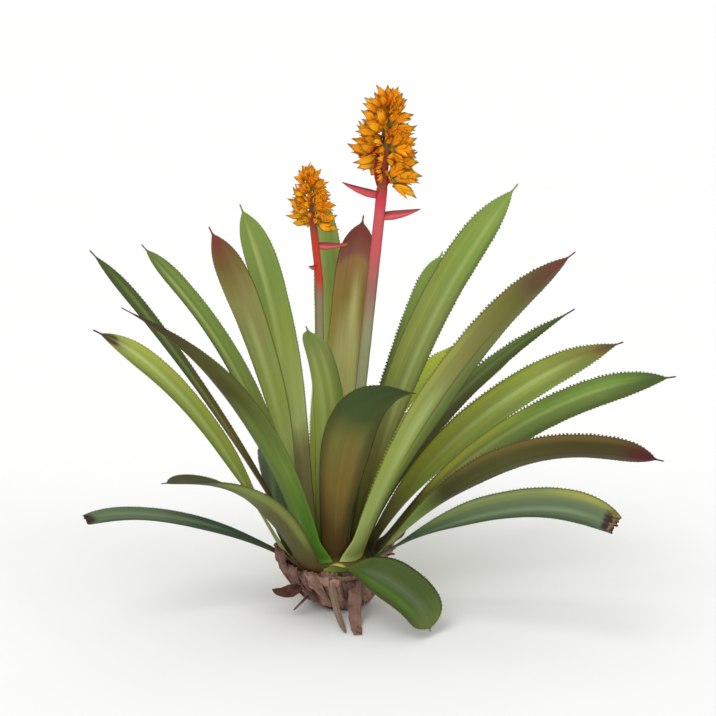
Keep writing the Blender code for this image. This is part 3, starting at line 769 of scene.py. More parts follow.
class Recipe:
    """A Geometry Nodes tree with named inputs, built in code and applied to an object's mesh."""

    def __init__(self, name: str, knobs: dict[str, Knob]) -> None:
        """Start a tree.

        Args:
            name: The tree's name.
            knobs: Its named inputs and their kinds.
        """
        self.tree = bpy.data.node_groups.new(name, "GeometryNodeTree")
        sockets = self.tree.interface
        sockets.new_socket("Geometry", in_out="INPUT", socket_type="NodeSocketGeometry")
        self.keys = {}
        for word, kind in knobs.items():
            made = sockets.new_socket(word, in_out="INPUT", socket_type=kind.value)
            self.keys[word] = made.identifier
        sockets.new_socket("Geometry", in_out="OUTPUT", socket_type="NodeSocketGeometry")
        self.entry = self.tree.nodes.new("NodeGroupInput")
        self.exit = self.tree.nodes.new("NodeGroupOutput")

    def knob(self, word: str) -> Socket:
        """The socket of a named input."""
        return self.entry.outputs[word]

    def node(self, kind: str, settings: dict[str, Any], inputs: dict[str | int, Any],
             output: str | int = 0) -> Socket:
        """Add a node.

        Args:
            kind: The node's type.
            settings: Its properties, which are set first.
            inputs: Its sockets' values, or the sockets, one or several, to link to them.
            output: The output socket that is wanted.

        Returns:
            That output socket.
        """
        made = self.tree.nodes.new(kind)
        for name, value in settings.items():
            setattr(made, name, value)
        for key, value in inputs.items():
            for one in value if isinstance(value, list) else [value]:
                if isinstance(one, Socket):
                    self.tree.links.new(one, made.inputs[key])
                else:
                    made.inputs[key].default_value = one
        return made.outputs[output]

    def named(self, word: str, kind: str = "FLOAT") -> Socket:
        """An attribute that the geometry carries."""
        return self.node("GeometryNodeInputNamedAttribute", {"data_type": kind}, {"Name": word}, "Attribute")

    def aimed(self, way: Socket, facing: Socket | None = None) -> Socket:
        """A rotation that turns Z to one vector and then X towards another.

        Args:
            way: The vector that Z turns to.
            facing: The vector that X turns towards, or None to leave it.

        Returns:
            The rotation.
        """
        turn = self.node("FunctionNodeAlignRotationToVector", {"axis": "Z"}, {"Vector": way})
        if facing is None:
            return turn
        settings = {"axis": "X", "pivot_axis": "Z"}
        return self.node("FunctionNodeAlignRotationToVector", settings, {"Rotation": turn, "Vector": facing})

    def cone(self, sides: int, top: float) -> Socket:
        """A cone of length 1 up Z, from a radius of 1 to the top's."""
        sockets = {"Vertices": sides, "Radius Top": top, "Radius Bottom": 1.0, "Depth": 1.0}
        return self.node("GeometryNodeMeshCone", {"fill_type": "NGON"}, sockets)

    def times(self, first: Socket, second: Socket | float) -> Socket:
        """The product of two numbers."""
        return self.node("ShaderNodeMath", {"operation": "MULTIPLY"}, {0: first, 1: second})

    def own(self, axis: str) -> Socket:
        """One coordinate of each point's own place."""
        return self.node("ShaderNodeSeparateXYZ", {}, {0: self.node("GeometryNodeInputPosition", {}, {})}, axis)

    def drawn(self, low: float, high: float) -> Socket:
        """A number from low to high, drawn for each point by the tree's seed."""
        sockets = {2: low, 3: high, "Seed": self.knob("Seed")}
        return self.node("FunctionNodeRandomValue", {"data_type": "FLOAT"}, sockets, 1)

    def stored(self, geometry: Socket, name: str, value: Socket) -> Socket:
        """The geometry, with a number kept under a name at its points."""
        sockets = {"Geometry": geometry, "Name": name, "Value": value}
        return self.node("GeometryNodeStoreNamedAttribute", {"data_type": "FLOAT", "domain": "POINT"}, sockets)

    def planted(self, points: Socket, one: Socket, turn: Socket, *size: Socket) -> Socket:
        """Repeat a geometry on points.

        Args:
            points: Where to.
            one: The geometry.
            turn: Its rotation at each point.
            *size: Its scale along x, y and z.

        Returns:
            The instances.
        """
        scale = self.node("ShaderNodeCombineXYZ", {}, dict(enumerate(size)))
        sockets = {"Points": points, "Instance": one, "Rotation": turn, "Scale": scale}
        return self.node("GeometryNodeInstanceOnPoints", {}, sockets)

    def close(self, *geometries: Socket) -> None:
        """Join geometries, and end the tree in Realize Instances and Set Material.

        Args:
            *geometries: One or more.
        """
        geometry = geometries[0]
        if len(geometries) > 1:
            geometry = self.node("GeometryNodeJoinGeometry", {}, {0: list(geometries)})
        solid = self.node("GeometryNodeRealizeInstances", {}, {"Geometry": geometry})
        solid = self.node("GeometryNodeSetMaterial", {}, {"Geometry": solid, "Material": self.knob("Material")})
        self.tree.links.new(solid, self.exit.inputs[0])

    def apply(self, obj: Object, **values: Any) -> Object:
        """Run the tree on an object and keep the result as its plain mesh.

        Args:
            obj: The object whose mesh goes in.
            **values: The named inputs' values, with underscores for spaces.

        Returns:
            The same object.
        """
        modifier = obj.modifiers.new(self.tree.name, "NODES")
        modifier.node_group = self.tree
        for word, value in values.items():
            modifier[self.keys[word.replace("_", " ")]] = value
        graph = bpy.context.evaluated_depsgraph_get()
        made = bpy.data.meshes.new_from_object(obj.evaluated_get(graph), preserve_all_data_layers=True,
                                               depsgraph=graph)
        obj.modifiers.remove(modifier)
        obj.data = made
        made.name = obj.name
        return obj


class ToothedMargin(Recipe):
    """Small flat forward pointing teeth, evenly spaced down a blade's margins."""

    FLATNESS = 0.3
    UNEVEN = (0.78, 1.15)

    def __init__(self) -> None:
        """Build the tree."""
        super().__init__("toothed_margin", {"Spacing": Knob.NUMBER, "Tooth Length": Knob.NUMBER,
                                            "Tooth Base": Knob.NUMBER, "Seed": Knob.COUNT,
                                            "Material": Knob.MATERIAL})
        edge = self.node("GeometryNodeMeshToCurve", {},
                         {"Mesh": self.knob("Geometry"), "Selection": self.named("margin", "BOOLEAN")})
        edge = self.node("GeometryNodeResampleCurve", {"mode": "LENGTH"},
                         {"Curve": edge, "Length": self.knob("Spacing")})
        tooth = self.stored(self.cone(4, 0.0), "tooth", self.own("Z"))
        size = self.times(self.drawn(*self.UNEVEN), self.named("tooth_size"))
        width = self.times(size, self.knob("Tooth Base"))
        turn = self.aimed(self.named("way", "FLOAT_VECTOR"), self.named("face", "FLOAT_VECTOR"))
        teeth = self.planted(edge, tooth, turn, self.times(width, self.FLATNESS), width,
                             self.times(size, self.knob("Tooth Length")))
        self.close(teeth, self.knob("Geometry"))


class FloretSpray(Recipe):
    """A floret on every point, aimed and sized by what the point carries."""

    def __init__(self) -> None:
        """Build the tree."""
        super().__init__("floret_spray", {"Floret": Knob.OBJECT, "Material": Knob.MATERIAL})
        floret = self.node("GeometryNodeObjectInfo", {}, {"Object": self.knob("Floret")}, "Geometry")
        size = self.named("size")
        wide = self.times(size, self.named("fullness"))
        turn = self.aimed(self.named("way", "FLOAT_VECTOR"), self.named("facing", "FLOAT_VECTOR"))
        self.close(self.planted(self.knob("Geometry"), floret, turn, wide, wide, size))


class SweptStalk(Recipe):
    """A round ribbed rod along a line of points that carry its radius."""

    def __init__(self) -> None:
        """Build the tree."""
        super().__init__("swept_stalk", {"Sides": Knob.COUNT, "Material": Knob.MATERIAL})
        line = self.node("GeometryNodeMeshToCurve", {}, {"Mesh": self.knob("Geometry")})
        ring = self.node("GeometryNodeCurvePrimitiveCircle", {},
                         {"Resolution": self.knob("Sides"), "Radius": 1.0}, "Curve")
        for name, axis in (("front", "X"), ("flank", "Y")):
            ring = self.stored(ring, name, self.own(axis))
        rod = self.node("GeometryNodeCurveToMesh", {},
                        {"Curve": line, "Profile Curve": ring, "Scale": self.named("girth"), "Fill Caps": True})
        self.close(self.node("GeometryNodeSetShadeSmooth", {}, {"Geometry": rod}))


class DryFibres(Recipe):
    """Thin loose fibres scattered over dry tissue."""

    LEANS = ((-0.45, -0.45, -1.3), (0.45, 0.45, -0.5))
    UNEVEN = (0.4, 1.2)

    def __init__(self) -> None:
        """Build the tree."""
        super().__init__("dry_fibres", {"Density": Knob.NUMBER, "Fibre Length": Knob.NUMBER,
                                        "Fibre Width": Knob.NUMBER, "Seed": Knob.COUNT,
                                        "Material": Knob.MATERIAL})
        spots = self.node("GeometryNodeDistributePointsOnFaces", {"distribute_method": "RANDOM"},
                          {"Mesh": self.knob("Geometry"), "Density": self.knob("Density"),
                           "Seed": self.knob("Seed")})
        lean = self.node("FunctionNodeRandomValue", {"data_type": "FLOAT_VECTOR"},
                         {0: self.LEANS[0], 1: self.LEANS[1], "Seed": self.knob("Seed")})
        width, length = self.knob("Fibre Width"), self.times(self.drawn(*self.UNEVEN), self.knob("Fibre Length"))
        strands = self.planted(spots, self.cone(3, 0.25), self.aimed(lean), width, width, length)
        self.close(strands, self.knob("Geometry"))


@dataclass
class Row:
    """One cross row of a blade.

    It has its middle, directions, width, half angle, thickness in the middle and at the margins, and share of
    the length, how large the teeth are, how deep its long ridges are, and how far its end is torn back.
    """

    middle: Vector
    along: Vector
    side: Vector
    width: float
    half_angle: float
    thick: float
    margin: float
    share: float
    tooth_size: float = 0.0
    relief: float = 0.0
    tear: float = 0.0

    @property
    def square_side(self) -> Vector:
        """The side direction, set square to the blade's line."""
        return (self.side - self.along * self.side.dot(self.along)).normalized()


class Blade:
    """A thin channelled blade: two skins that meet in sharp margins, closed at the root and the tip."""

    TOOTH_SWEEP = 38.0
    RIDGE_RATE = 0.9
    TEAR_RATE = 1.9

    def __init__(self, columns: int, seed: int = 0) -> None:
        """Start a blade.

        Args:
            columns: How many faces lie across it.
            seed: What sets its ridges and its torn end apart.
        """
        self.columns = columns
        self.skin = Skin()
        self.ridges = [ripple(Vector((column * self.RIDGE_RATE, seed * 2.3, 0.5)), 1.0) * 2.0
                       for column in range(columns + 1)]
        self.tears = [ripple(Vector((column * self.TEAR_RATE, seed * 1.3, 7.5)), 1.0) * 2.0
                      for column in range(columns + 1)]

    def build(self, rows: Sequence[Row], tip: Vector | None) -> Skin:
        """Lay the rows and close the ends.

        Args:
            rows: From the root outwards.
            tip: The point that the blade ends in, or None for a squared end.

        Returns:
            The closed skin.
        """
        rings = [self.ring(row) for row in rows]
        for low, high in zip(rings, rings[1:]):
            self.skin.ring_wall(high, low)
        self.cap(rings[0], True)
        if tip is None:
            self.cap(rings[-1], False)
            return self.skin
        facts = {"along": 1.0, "across": 0.0, "upper": 0.5, "margin": False, "tooth_size": 0.0}
        end = self.skin.point(tip, facts, {"way": rows[-1].along, "face": rows[-1].along})
        last = rings[-1]
        for k in range(len(last)):
            self.skin.faces.append((last[k], end, last[(k + 1) % len(last)]))
        return self.skin

    def ring(self, row: Row) -> list[int]:
        """Add the points round one row.

        Args:
            row: The row.

        Returns:
            The points: the upper face's from left to right, and the lower face's back.
        """
        side, sweep = row.square_side, math.radians(self.TOOTH_SWEEP)
        inward = side.cross(row.along)
        radius = row.width / 2 / row.half_angle
        upper, lower = [], []
        for column in range(self.columns + 1):
            across = 2.0 * column / self.columns - 1.0
            angle = across * row.half_angle
            out = inward * math.cos(angle) - side * math.sin(angle)
            place = row.middle + side * (radius * math.sin(angle)) + inward * (radius * (1 - math.cos(angle)))
            place += out * (row.relief * self.ridges[column] * (1.0 - across * across))
            place += row.along * (row.tear * self.tears[column])
            half = mix(row.thick, row.margin, across * across) / 2
            outward = side * math.copysign(math.cos(angle), across) + inward * abs(math.sin(angle))
            aims = {"way": outward * math.cos(sweep) + row.along * math.sin(sweep), "face": out}
            facts = {"along": row.share, "across": across, "tooth_size": row.tooth_size}
            if column in (0, self.columns):
                facts |= {"upper": 0.5, "margin": row.tooth_size > 0.0}
                upper.append(self.skin.point(place, facts, aims))
                continue
            facts["margin"] = False
            upper.append(self.skin.point(place + out * half, facts | {"upper": 1.0}, aims))
            lower.append(self.skin.point(place - out * half, facts | {"upper": 0.0}, aims))
        return upper + lower[::-1]

    def cap(self, ring: Sequence[int], root: bool) -> None:
        """Close an end with a strip of faces across the blade's thickness.

        Args:
            ring: The end row's points.
            root: Whether this is the blade's start.
        """
        top = list(ring[:self.columns + 1])
        low = [top[0], *reversed(ring[self.columns + 1:]), top[-1]]
        for k in range(self.columns):
            corners = [top[k], top[k + 1], low[k + 1], low[k]]
            face = list(dict.fromkeys(corners))
            self.skin.faces.append(tuple(reversed(face) if root else face))


def add_piece(obj: Object, slot: str, *nodes: str) -> Object:
    """Hang a finished piece on the plant's body and say what it stands for.

    Args:
        obj: The piece.
        slot: The record's material slot that it stands for; it is only logged.
        *nodes: The CAD nodes that it replaces.

    Returns:
        The piece.
    """
    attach(obj, BODY)
    if nodes:
        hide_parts(*nodes)
    faces = len(obj.data.polygons)
    LOG.info("%s: %d faces, slot %s, replaces %s", obj.name, faces, slot, ", ".join(nodes) or "nothing")
    return obj


@dataclass
class Leaf:
    """One leaf: sizes close to its solid's, with finer rows and a blunter end, and its finish."""

    ring: int
    root: float
    turn: float
    reach: float
    height: float
    dip: float
    width: float
    slot: str
    finish: LeafFinish
    sheath: float = 0.036
    belly: float = 0.58
    taper: float = 3.2
    roll: float = 0.0
    heading: float | None = None
    stem: float = 0.36
    end: LeafEnd = LeafEnd.SPINE
    saw: float = 1.0

    # Lengths in metres. A span is the share of the length where something starts, and how much further it is whole
    ROWS = 64
    CROWDING = 1.25
    COLUMNS = 20
    LAST_SHARE = 0.996
    TORN_SHARE = 0.972
    TIP_HANDLE = 0.36
    ROLL_SPAN = (0.0, 0.5)
    CHANNEL = 0.62
    CHANNEL_SPAN = (0.0, 0.35)
    TIP_CHANNEL = 0.37
    TIP_SPAN = (0.7, 0.3)
    WAVE = 0.018
    WAVE_RATE = 38.0
    WAVE_SPAN = (0.0, 0.2)
    MIDDLE = 0.0017
    THINNEST = 0.0009
    THIN_WIDTH = 0.012
    MARGIN = 0.0008
    SPINE_WIDTH = 0.0022
    TEAR = 0.0017
    TEAR_SPAN = (0.90, 0.07)
    CLASP = 0.55
    CLASP_SPAN = (0.0, 0.075)
    CLASP_ANGLE = 1.2
    RELIEF = 0.00042
    RELIEF_SPAN = (0.08, 0.2)
    RELIEF_WIDTH = 0.03
    TEETH = (0.10, 0.975)
    ROOT_TOOTH = 0.45
    TOOTH_GROWTH = (0.1, 0.25)
    TIP_TOOTH = 0.5
    TOOTH_LOSS = (0.86, 0.1)
    TOOTH_SPACING = 0.0048
    TOOTH_LENGTH = 0.0026
    TOOTH_BASE = 0.0021

    def curve(self) -> list[Vector]:
        """Where the leaf runs.

        Returns:
            The four control points of its middle line.
        """
        radius = RING_INNER + RING_PITCH * self.ring
        slope = CROWN_DROP * CROWN_POWER * radius ** (CROWN_POWER - 1) / CROWN_RADIUS**CROWN_POWER
        rise = 90.0 - math.degrees(math.atan(slope))
        height = CROWN_TOP - CROWN_DROP * (radius / CROWN_RADIUS) ** CROWN_POWER
        root = Vector((CROWN_X, 0.0, height)) + compass(self.root) * radius + compass(self.root, rise) * GAP
        tip = Vector((CROWN_X, 0.0, self.height)) + compass(self.turn) * self.reach
        chord = (tip - root).length
        return [root, root + compass(self.root, rise) * chord * self.stem,
                tip - compass(self.heads(), self.dip) * chord * self.TIP_HANDLE, tip]

    def heads(self) -> float:
        """The tip's own compass direction."""
        return self.turn if self.heading is None else self.heading

    def width_at(self, share: float) -> float:
        """The blade's width, down to the spine at its tip.

        Args:
            share: How far along the blade.

        Returns:
            The width there.
        """
        share = min(share / self.end.value, 1.0)
        if share < self.belly:
            return mix(self.sheath, self.width, smoothstep(share / self.belly))
        beyond = (share - self.belly) / (1.0 - self.belly)
        return max(self.width * (1.0 - beyond**self.taper), self.SPINE_WIDTH)

    def tooth_size_at(self, share: float) -> float:
        """How large the teeth are. None stand near the root or on the spine.

        Args:
            share: How far along the blade.

        Returns:
            Their size, from 0 to 1.
        """
        if not self.TEETH[0] < share < self.TEETH[1]:
            return 0.0
        size = self.saw * mix(self.ROOT_TOOTH, 1.0, ease(share, *self.TOOTH_GROWTH))
        return size * mix(1.0, self.TIP_TOOTH, ease(share, *self.TOOTH_LOSS))

    def rows(self, seed: int, shares: Sequence[float]) -> tuple[list[Row], Vector]:
        """The blade's cross rows at shares of its length, and its tip.

        Args:
            seed: What sets its waves apart from the other leaves'.
            shares: Rising shares.

        Returns:
            The rows and the tip's place.
        """
        ring_radius = RING_INNER + RING_PITCH * self.ring
        trail = even_shares(self.curve(), [*shares, 1.0])
        swing = (self.heads() - self.root + 180) % 360 - 180
        rows = []
        for share, (place, along) in zip(shares, trail):
            facing = self.root + swing * smoothstep(share) ** 2
            side = rotated(compass(facing - 90), self.roll * ease(share, *self.ROLL_SPAN), along)
            half = mix(self.sheath / 2 / ring_radius, self.CHANNEL, ease(share, *self.CHANNEL_SPAN))
            half = mix(half, self.TIP_CHANNEL, ease(share, *self.TIP_SPAN))
            clasp = 1.0 + self.CLASP * (1.0 - ease(share, *self.CLASP_SPAN))
            half = min(half * clasp, self.CLASP_ANGLE) if clasp > 1.0 else half
            wave = clasp + self.WAVE * ripple(place, self.WAVE_RATE, seed) * ease(share, *self.WAVE_SPAN)
            width = self.width_at(share)
            thick = mix(self.THINNEST, self.MIDDLE, min(1.0, width / self.THIN_WIDTH))
            relief = self.RELIEF * ease(share, *self.RELIEF_SPAN) * min(1.0, width / self.RELIEF_WIDTH)
            tear = self.TEAR * ease(share, *self.TEAR_SPAN) if self.end is LeafEnd.TORN else 0.0
            rows.append(Row(place, along, side, width * wave, half, thick, self.MARGIN, share,
                            self.tooth_size_at(share), relief, tear))
        return rows, trail[-1][0]

    def make(self, name: str, seed: int, teeth: ToothedMargin) -> Object:
        """Build the leaf, set its teeth and dress it.

        Args:
            name: The node that it replaces.
            seed: Its own seed.
            teeth: The tree that sets teeth.

        Returns:
            The piece.
        """
        torn = self.end is LeafEnd.TORN
        last = self.TORN_SHARE if torn else self.LAST_SHARE
        rows, tip = self.rows(seed, [last * (1.0 - (1.0 - step) ** self.CROWDING) for step in spaced(self.ROWS)])
        material = self.finish.material(name, seed)
        obj = Blade(self.COLUMNS, seed).build(rows, None if torn else tip).build(f"{name}_blade", material)
        teeth.apply(obj, Spacing=self.TOOTH_SPACING, Tooth_Length=self.TOOTH_LENGTH, Tooth_Base=self.TOOTH_BASE,
                    Seed=seed, Material=material)
        return add_piece(obj, self.slot, name)


T = Tone
# In this table pale bands down a blade are painted highlight streaks, and dark green and olive bands along a margin
# are painted shade.
LEAVES: dict[str, Leaf] = {
    "leaf_01": Leaf(0, 262, 256, 0.117, 0.403, 60, 0.046, "leaf_green", LeafFinish(
        ((0.0, T.OLIVE), (0.3, T.SAGE), (0.5, T.LIME), (0.7, T.LIME), (0.88, T.SAGE), (0.96, T.LEAF),
         (0.985, T.BROWN_OLIVE)),
        (Band(T.PALE_LIME, 0.25, 0.3, 0.5), Band(T.PALE_LIME, -0.4, 0.2, 0.4), Band(T.WARM_GREEN, -1.0, 0.5, 0.6))),
        belly=0.73, taper=8.4, heading=230, saw=0.5),
    # Painted light: the pale low stops and the long pale gold band brighten the lower blade against the shade of the
    # leaves above.
    "leaf_02": Leaf(0, 78, 59, 0.083, 0.514, 74, 0.055, "leaf_olive", LeafFinish(
        ((0.0, T.YELLOW_GREEN), (0.25, T.PALE_LIME), (0.60, T.PALE_GOLD), (0.76, T.GOLD_OLIVE),
         (0.868, T.GOLD_BROWN), (0.895, T.MAUVE_ROSE), (0.95, T.MAROON)),
        (Band(T.PALE_GOLD, 0.1, 0.34, 0.9, 0.12, 0.80), Band(T.GOLD_OLIVE, -0.9, 0.4, 0.6, 0.3, 0.85),
         Band(T.BROWN_OLIVE, 0.7, 0.35, 0.5, 0.5, 0.86)), bow=-0.05, ragged=0.012),
        belly=0.60, taper=9.5, roll=12, saw=0.5),
    # Painted light: the pale lime low stop brightens the lower blade against the shade of the leaves above.
    "leaf_03": Leaf(1, 90, 98, 0.131, 0.556, 78, 0.048, "leaf_green", LeafFinish(
        ((0.0, T.SAGE), (0.25, T.PALE_LIME), (0.5, T.LIME), (0.75, T.LEAF), (0.95, T.BRIGHT)),
        (Band(T.PALE_LIME, -0.3, 0.3, 0.4), Band(T.WARM_GREEN, 0.5, 0.25, 0.4))),
        sheath=0.032, taper=4.5, heading=125, saw=0.5),
    # Painted light: the pale lime stop brightens the lower blade against the shade of the leaves above.
    "leaf_04": Leaf(1, 145, 141, 0.158, 0.525, 60, 0.047, "leaf_green", LeafFinish(
        ((0.0, T.MAUVE_OLIVE), (0.26, T.MAUVE_OLIVE), (0.36, T.PALE_LIME), (0.60, T.LIME), (0.75, T.LEAF),
         (0.93, T.LEAF)),
        (Band(T.PALE_LIME, -0.1, 0.25, 0.55, 0.5, 0.92), Band(T.BRIGHT, -0.8, 0.35, 0.7, 0.3, 0.95),
         Band(T.BRIGHT, 0.85, 0.3, 0.5, 0.55, 0.95))),
        sheath=0.032, belly=0.57, taper=7.6, roll=-30, stem=0.42, saw=0.5),
    "leaf_05": Leaf(1, 205, 175, 0.157, 0.507, 64, 0.052, "leaf_olive", LeafFinish(
        ((0.0, T.VIVID), (0.14, T.SAGE), (0.30, T.PALE_LIME), (0.45, T.LIME), (0.62, T.SAGE),
         (0.76, T.OLIVE_TAN), (0.88, T.BROWN_OLIVE), (0.95, T.MAROON), (1.0, T.MAROON)),
        (Band(T.PALE_LIME, 0.1, 0.3, 0.55, 0.2, 0.7), Band(T.VIVID, 0.0, 0.45, 0.7, 0.0, 0.25),
         Band(T.MOSS, -0.95, 0.35, 0.6, 0.1, 0.7), Band(T.MAUVE_OLIVE, 0.4, 0.3, 0.4, 0.6, 0.88))),
        sheath=0.032, belly=0.56, taper=7.0, roll=-50, stem=0.26, saw=0.5),
    "leaf_06": Leaf(1, 278, 296, 0.236, 0.343, 2, 0.068, "leaf_olive", LeafFinish(
        ((0.0, T.ROOT_BROWN), (0.14, T.ROOT_BROWN), (0.34, T.GOLDEN_BROWN), (0.56, T.OLIVE), (0.70, T.FOREST),
         (1.0, T.DEEP_FOREST)),
        (Band(T.GOLDEN_BROWN, -0.1, 0.5, 0.6, 0.15, 0.62), Band(T.DARK_OLIVE, -0.9, 0.5, 0.8, 0.1, 0.75),
         Band(T.DARK_OLIVE, 0.95, 0.4, 0.7, 0.1, 0.75), Band(T.GREY_GREEN, 0.2, 0.3, 0.15, 0.7, 0.95))),
        belly=0.60, taper=8.0, roll=-24, heading=325, stem=0.20, saw=0.7),
    "leaf_07": Leaf(1, 18, 17, 0.258, 0.555, 48, 0.051, "leaf_green", LeafFinish(
        ((0.0, T.OLIVE), (0.30, T.OLIVE_TAN), (0.45, T.SAGE), (0.62, T.SAGE), (0.75, T.BRIGHT), (1.0, T.LEAF)),
        (Band(T.YELLOW_GREEN, -0.6, 0.45, 0.4, 0.42, 0.85), Band(T.PALE_LIME, 0.15, 0.22, 0.4, 0.3, 0.93),
         Band(T.FOREST, 0.95, 0.4, 0.6, 0.2, 0.9), Band(T.BRIGHT, -0.2, 0.3, 0.35, 0.6, 0.9))),
        belly=0.63, taper=4.7, roll=45),
    "leaf_08": Leaf(2, 52, 51, 0.246, 0.447, 50, 0.034, "leaf_green", LeafFinish(
        ((0.0, T.OLIVE), (0.3, T.MOSS), (0.55, T.MOSS), (0.75, T.LEAF), (1.0, T.LEAF)),
        (Band(T.BRIGHT, -0.5, 0.4, 0.6, 0.4, 0.95),)), belly=0.65, taper=8.1, roll=20, stem=0.25),
    "leaf_09": Leaf(2, 150, 158, 0.277, 0.470, 44, 0.033, "leaf_green", LeafFinish(
        ((0.0, T.OLIVE), (0.25, T.SAGE), (0.5, T.SAGE), (0.7, T.LEAF), (0.88, T.WARM_GREEN), (1.0, T.MOSS)),
        (Band(T.PALE_LIME, -0.2, 0.3, 0.7, 0.3, 0.9), Band(T.FOREST, -1.0, 0.4, 0.7, 0.3, 0.95),
         Band(T.BRIGHT, 0.5, 0.4, 0.4, 0.5, 0.95))),
        sheath=0.030, belly=0.57, taper=9.6, roll=-20, heading=160, stem=0.50, saw=0.5),
    # Painted light: the bright low stops and the bright band near the root stand against the shade of the leaves
    # above.
    "leaf_10": Leaf(2, 236, 224, 0.327, 0.448, 30, 0.046, "leaf_olive", LeafFinish(
        ((0.0, T.VIVID), (0.16, T.VIVID), (0.30, T.BRIGHT), (0.45, T.WARM_GREEN), (0.58, T.OLIVE_DUSK),
         (0.74, T.OLIVE_DUSK), (0.88, T.DEEP_BROWN), (1.0, T.DEEP_BROWN)),
        (Band(T.BRIGHT, 0.1, 0.40, 0.8, 0.05, 0.55), Band(T.DARK_OLIVE, 0.95, 0.4, 0.6, 0.2, 0.9),
         Band(T.MOSS, -0.8, 0.35, 0.5, 0.1, 0.7))),
        taper=2.0, roll=9, heading=219, stem=0.33, saw=0.5),
    # Painted shade: the dark bands along one side are the channel's shade.
    "leaf_11": Leaf(2, 322, 343, 0.315, 0.491, 39, 0.055, "leaf_lime", LeafFinish(
        ((0.0, T.PALE_LIME), (0.25, T.LIME), (0.45, T.SAGE), (0.60, T.OLIVE_TAN), (0.78, T.OLIVE),
         (0.88, T.BROWN_MAUVE), (0.955, T.MAROON), (1.0, T.MAROON)),
        (Band(T.PALE_LIME, 0.3, 0.35, 0.7, 0.0, 0.5), Band(T.WARM_GREEN, -0.6, 0.55, 0.85, 0.12, 0.66),
         Band(T.DARK_OLIVE, -0.12, 0.07, 0.5, 0.3, 0.7), Band(T.FOREST, -1.0, 0.3, 0.7, 0.1, 0.9),
         Band(T.YELLOW_GREEN, 0.85, 0.3, 0.5, 0.4, 0.66))),
        belly=0.54, taper=6.1, roll=-36, heading=338, stem=0.25),
    "leaf_12": Leaf(2, 105, 91, 0.300, 0.287, 5, 0.044, "leaf_lime", LeafFinish(
        ((0.0, T.YELLOW_GREEN), (0.5, T.LIME), (1.0, T.LEAF)), (Band(T.PALE_LIME, 0.0, 0.4, 0.5),))),
    "leaf_13": Leaf(2, 191, 176, 0.313, 0.475, 44, 0.029, "leaf_dark", LeafFinish(
        ((0.0, T.MAROON), (0.12, T.DEEP_BROWN), (0.36, T.BROWN_OLIVE), (0.50, T.OLIVE_DUSK), (0.66, T.FOREST),
         (1.0, T.FOREST)),
        (Band(T.SAGE, 0.2, 0.35, 0.5, 0.35, 0.9), Band(T.DARK_OLIVE, -0.9, 0.5, 0.6, 0.2, 0.9))),
        sheath=0.026, belly=0.60, taper=6.2, roll=-16, heading=161, stem=0.11, saw=0.5),
    "leaf_14": Leaf(2, 7, 7, 0.324, 0.394, 32, 0.034, "leaf_dark", LeafFinish(
        ((0.0, T.BROWN_OLIVE), (0.30, T.DARK_OLIVE), (0.52, T.DARK_OLIVE), (0.68, T.FOREST), (0.85, T.FOREST),
         (1.0, T.FOREST)),
        (Band(T.SAGE, -0.2, 0.3, 0.25, 0.45, 0.9), Band(T.DARK_OLIVE, 0.9, 0.6, 0.7, 0.2, 0.95),
         Band(T.LEAF, -0.8, 0.35, 0.4, 0.45, 0.85))),
        sheath=0.028, belly=0.53, taper=2.0, roll=38, heading=358),
    "leaf_16": Leaf(3, 84, 50, 0.288, 0.311, 20, 0.042, "leaf_lime", LeafFinish(
        ((0.0, T.LIME), (0.6, T.SUN_LIME), (0.9, T.SUN_LIME), (0.97, T.DEEP_BROWN))), sheath=0.028),
    "leaf_17": Leaf(3, 130, 110, 0.319, 0.310, 10, 0.044, "leaf_green", LeafFinish(
        ((0.0, T.OLIVE), (0.4, T.SAGE), (1.0, T.MOSS)), (Band(T.PALE_LIME, 0.0, 0.35, 0.4),))),
    "leaf_18": Leaf(3, 46, 37, 0.334, 0.302, 25, 0.042, "leaf_lime", LeafFinish(
        ((0.0, T.LEAF), (0.6, T.SAGE), (1.0, T.LEAF)), (Band(T.PALE_LIME, 0.0, 0.35, 0.4),)), sheath=0.026),
    "leaf_19": Leaf(3, 14, 10.5, 0.400, 0.342, 16, 0.050, "leaf_lime", LeafFinish(
        ((0.0, T.OLIVE_DUSK), (0.14, T.OLIVE_TAN), (0.3, T.YELLOW_GREEN), (0.55, T.LIME), (0.72, T.LIME),
         (0.895, T.OLIVE), (0.91, T.BROWN_OLIVE), (1.0, T.DEEP_BROWN)),
        (Band(T.SUN_LIME, -0.75, 0.45, 0.5, 0.2, 0.74), Band(T.SILVER_LIME, -0.05, 0.25, 0.5, 0.3, 0.82),
         Band(T.WARM_GREEN, 0.7, 0.5, 0.7, 0.2, 0.90)), ragged=0.03),
        sheath=0.028, belly=0.50, taper=4.0, roll=48, stem=0.33),
    "leaf_15": Leaf(4, 208, 209, 0.321, 0.407, 28, 0.041, "leaf_lime", LeafFinish(
        ((0.0, T.WARM_GREEN), (0.2, T.OLIVE_TAN), (0.4, T.LIME), (0.88, T.LIME), (0.912, T.OLIVE_TAN),
         (0.926, T.DEEP_BROWN), (1.0, T.DEEP_BROWN)),
        (Band(T.SILVER_LIME, 0.1, 0.28, 0.75, 0.2, 0.92), Band(T.WARM_GREEN, -0.8, 0.5, 0.7, 0.15, 0.93),
         Band(T.YELLOW_GREEN, 0.8, 0.35, 0.6, 0.3, 0.93)), ragged=0.02),
        sheath=0.028, belly=0.52, taper=7.0, roll=-40, heading=189, stem=0.15, saw=0.5),
    "leaf_20": Leaf(4, 5, 348, 0.441, 0.334, 10, 0.046, "leaf_green", LeafFinish(
        ((0.0, T.OLIVE_DUSK), (0.16, T.OLIVE_DUSK), (0.32, T.OLIVE), (0.50, T.WARM_GREEN), (0.8, T.WARM_GREEN),
         (0.92, T.FOREST), (1.0, T.FOREST)),
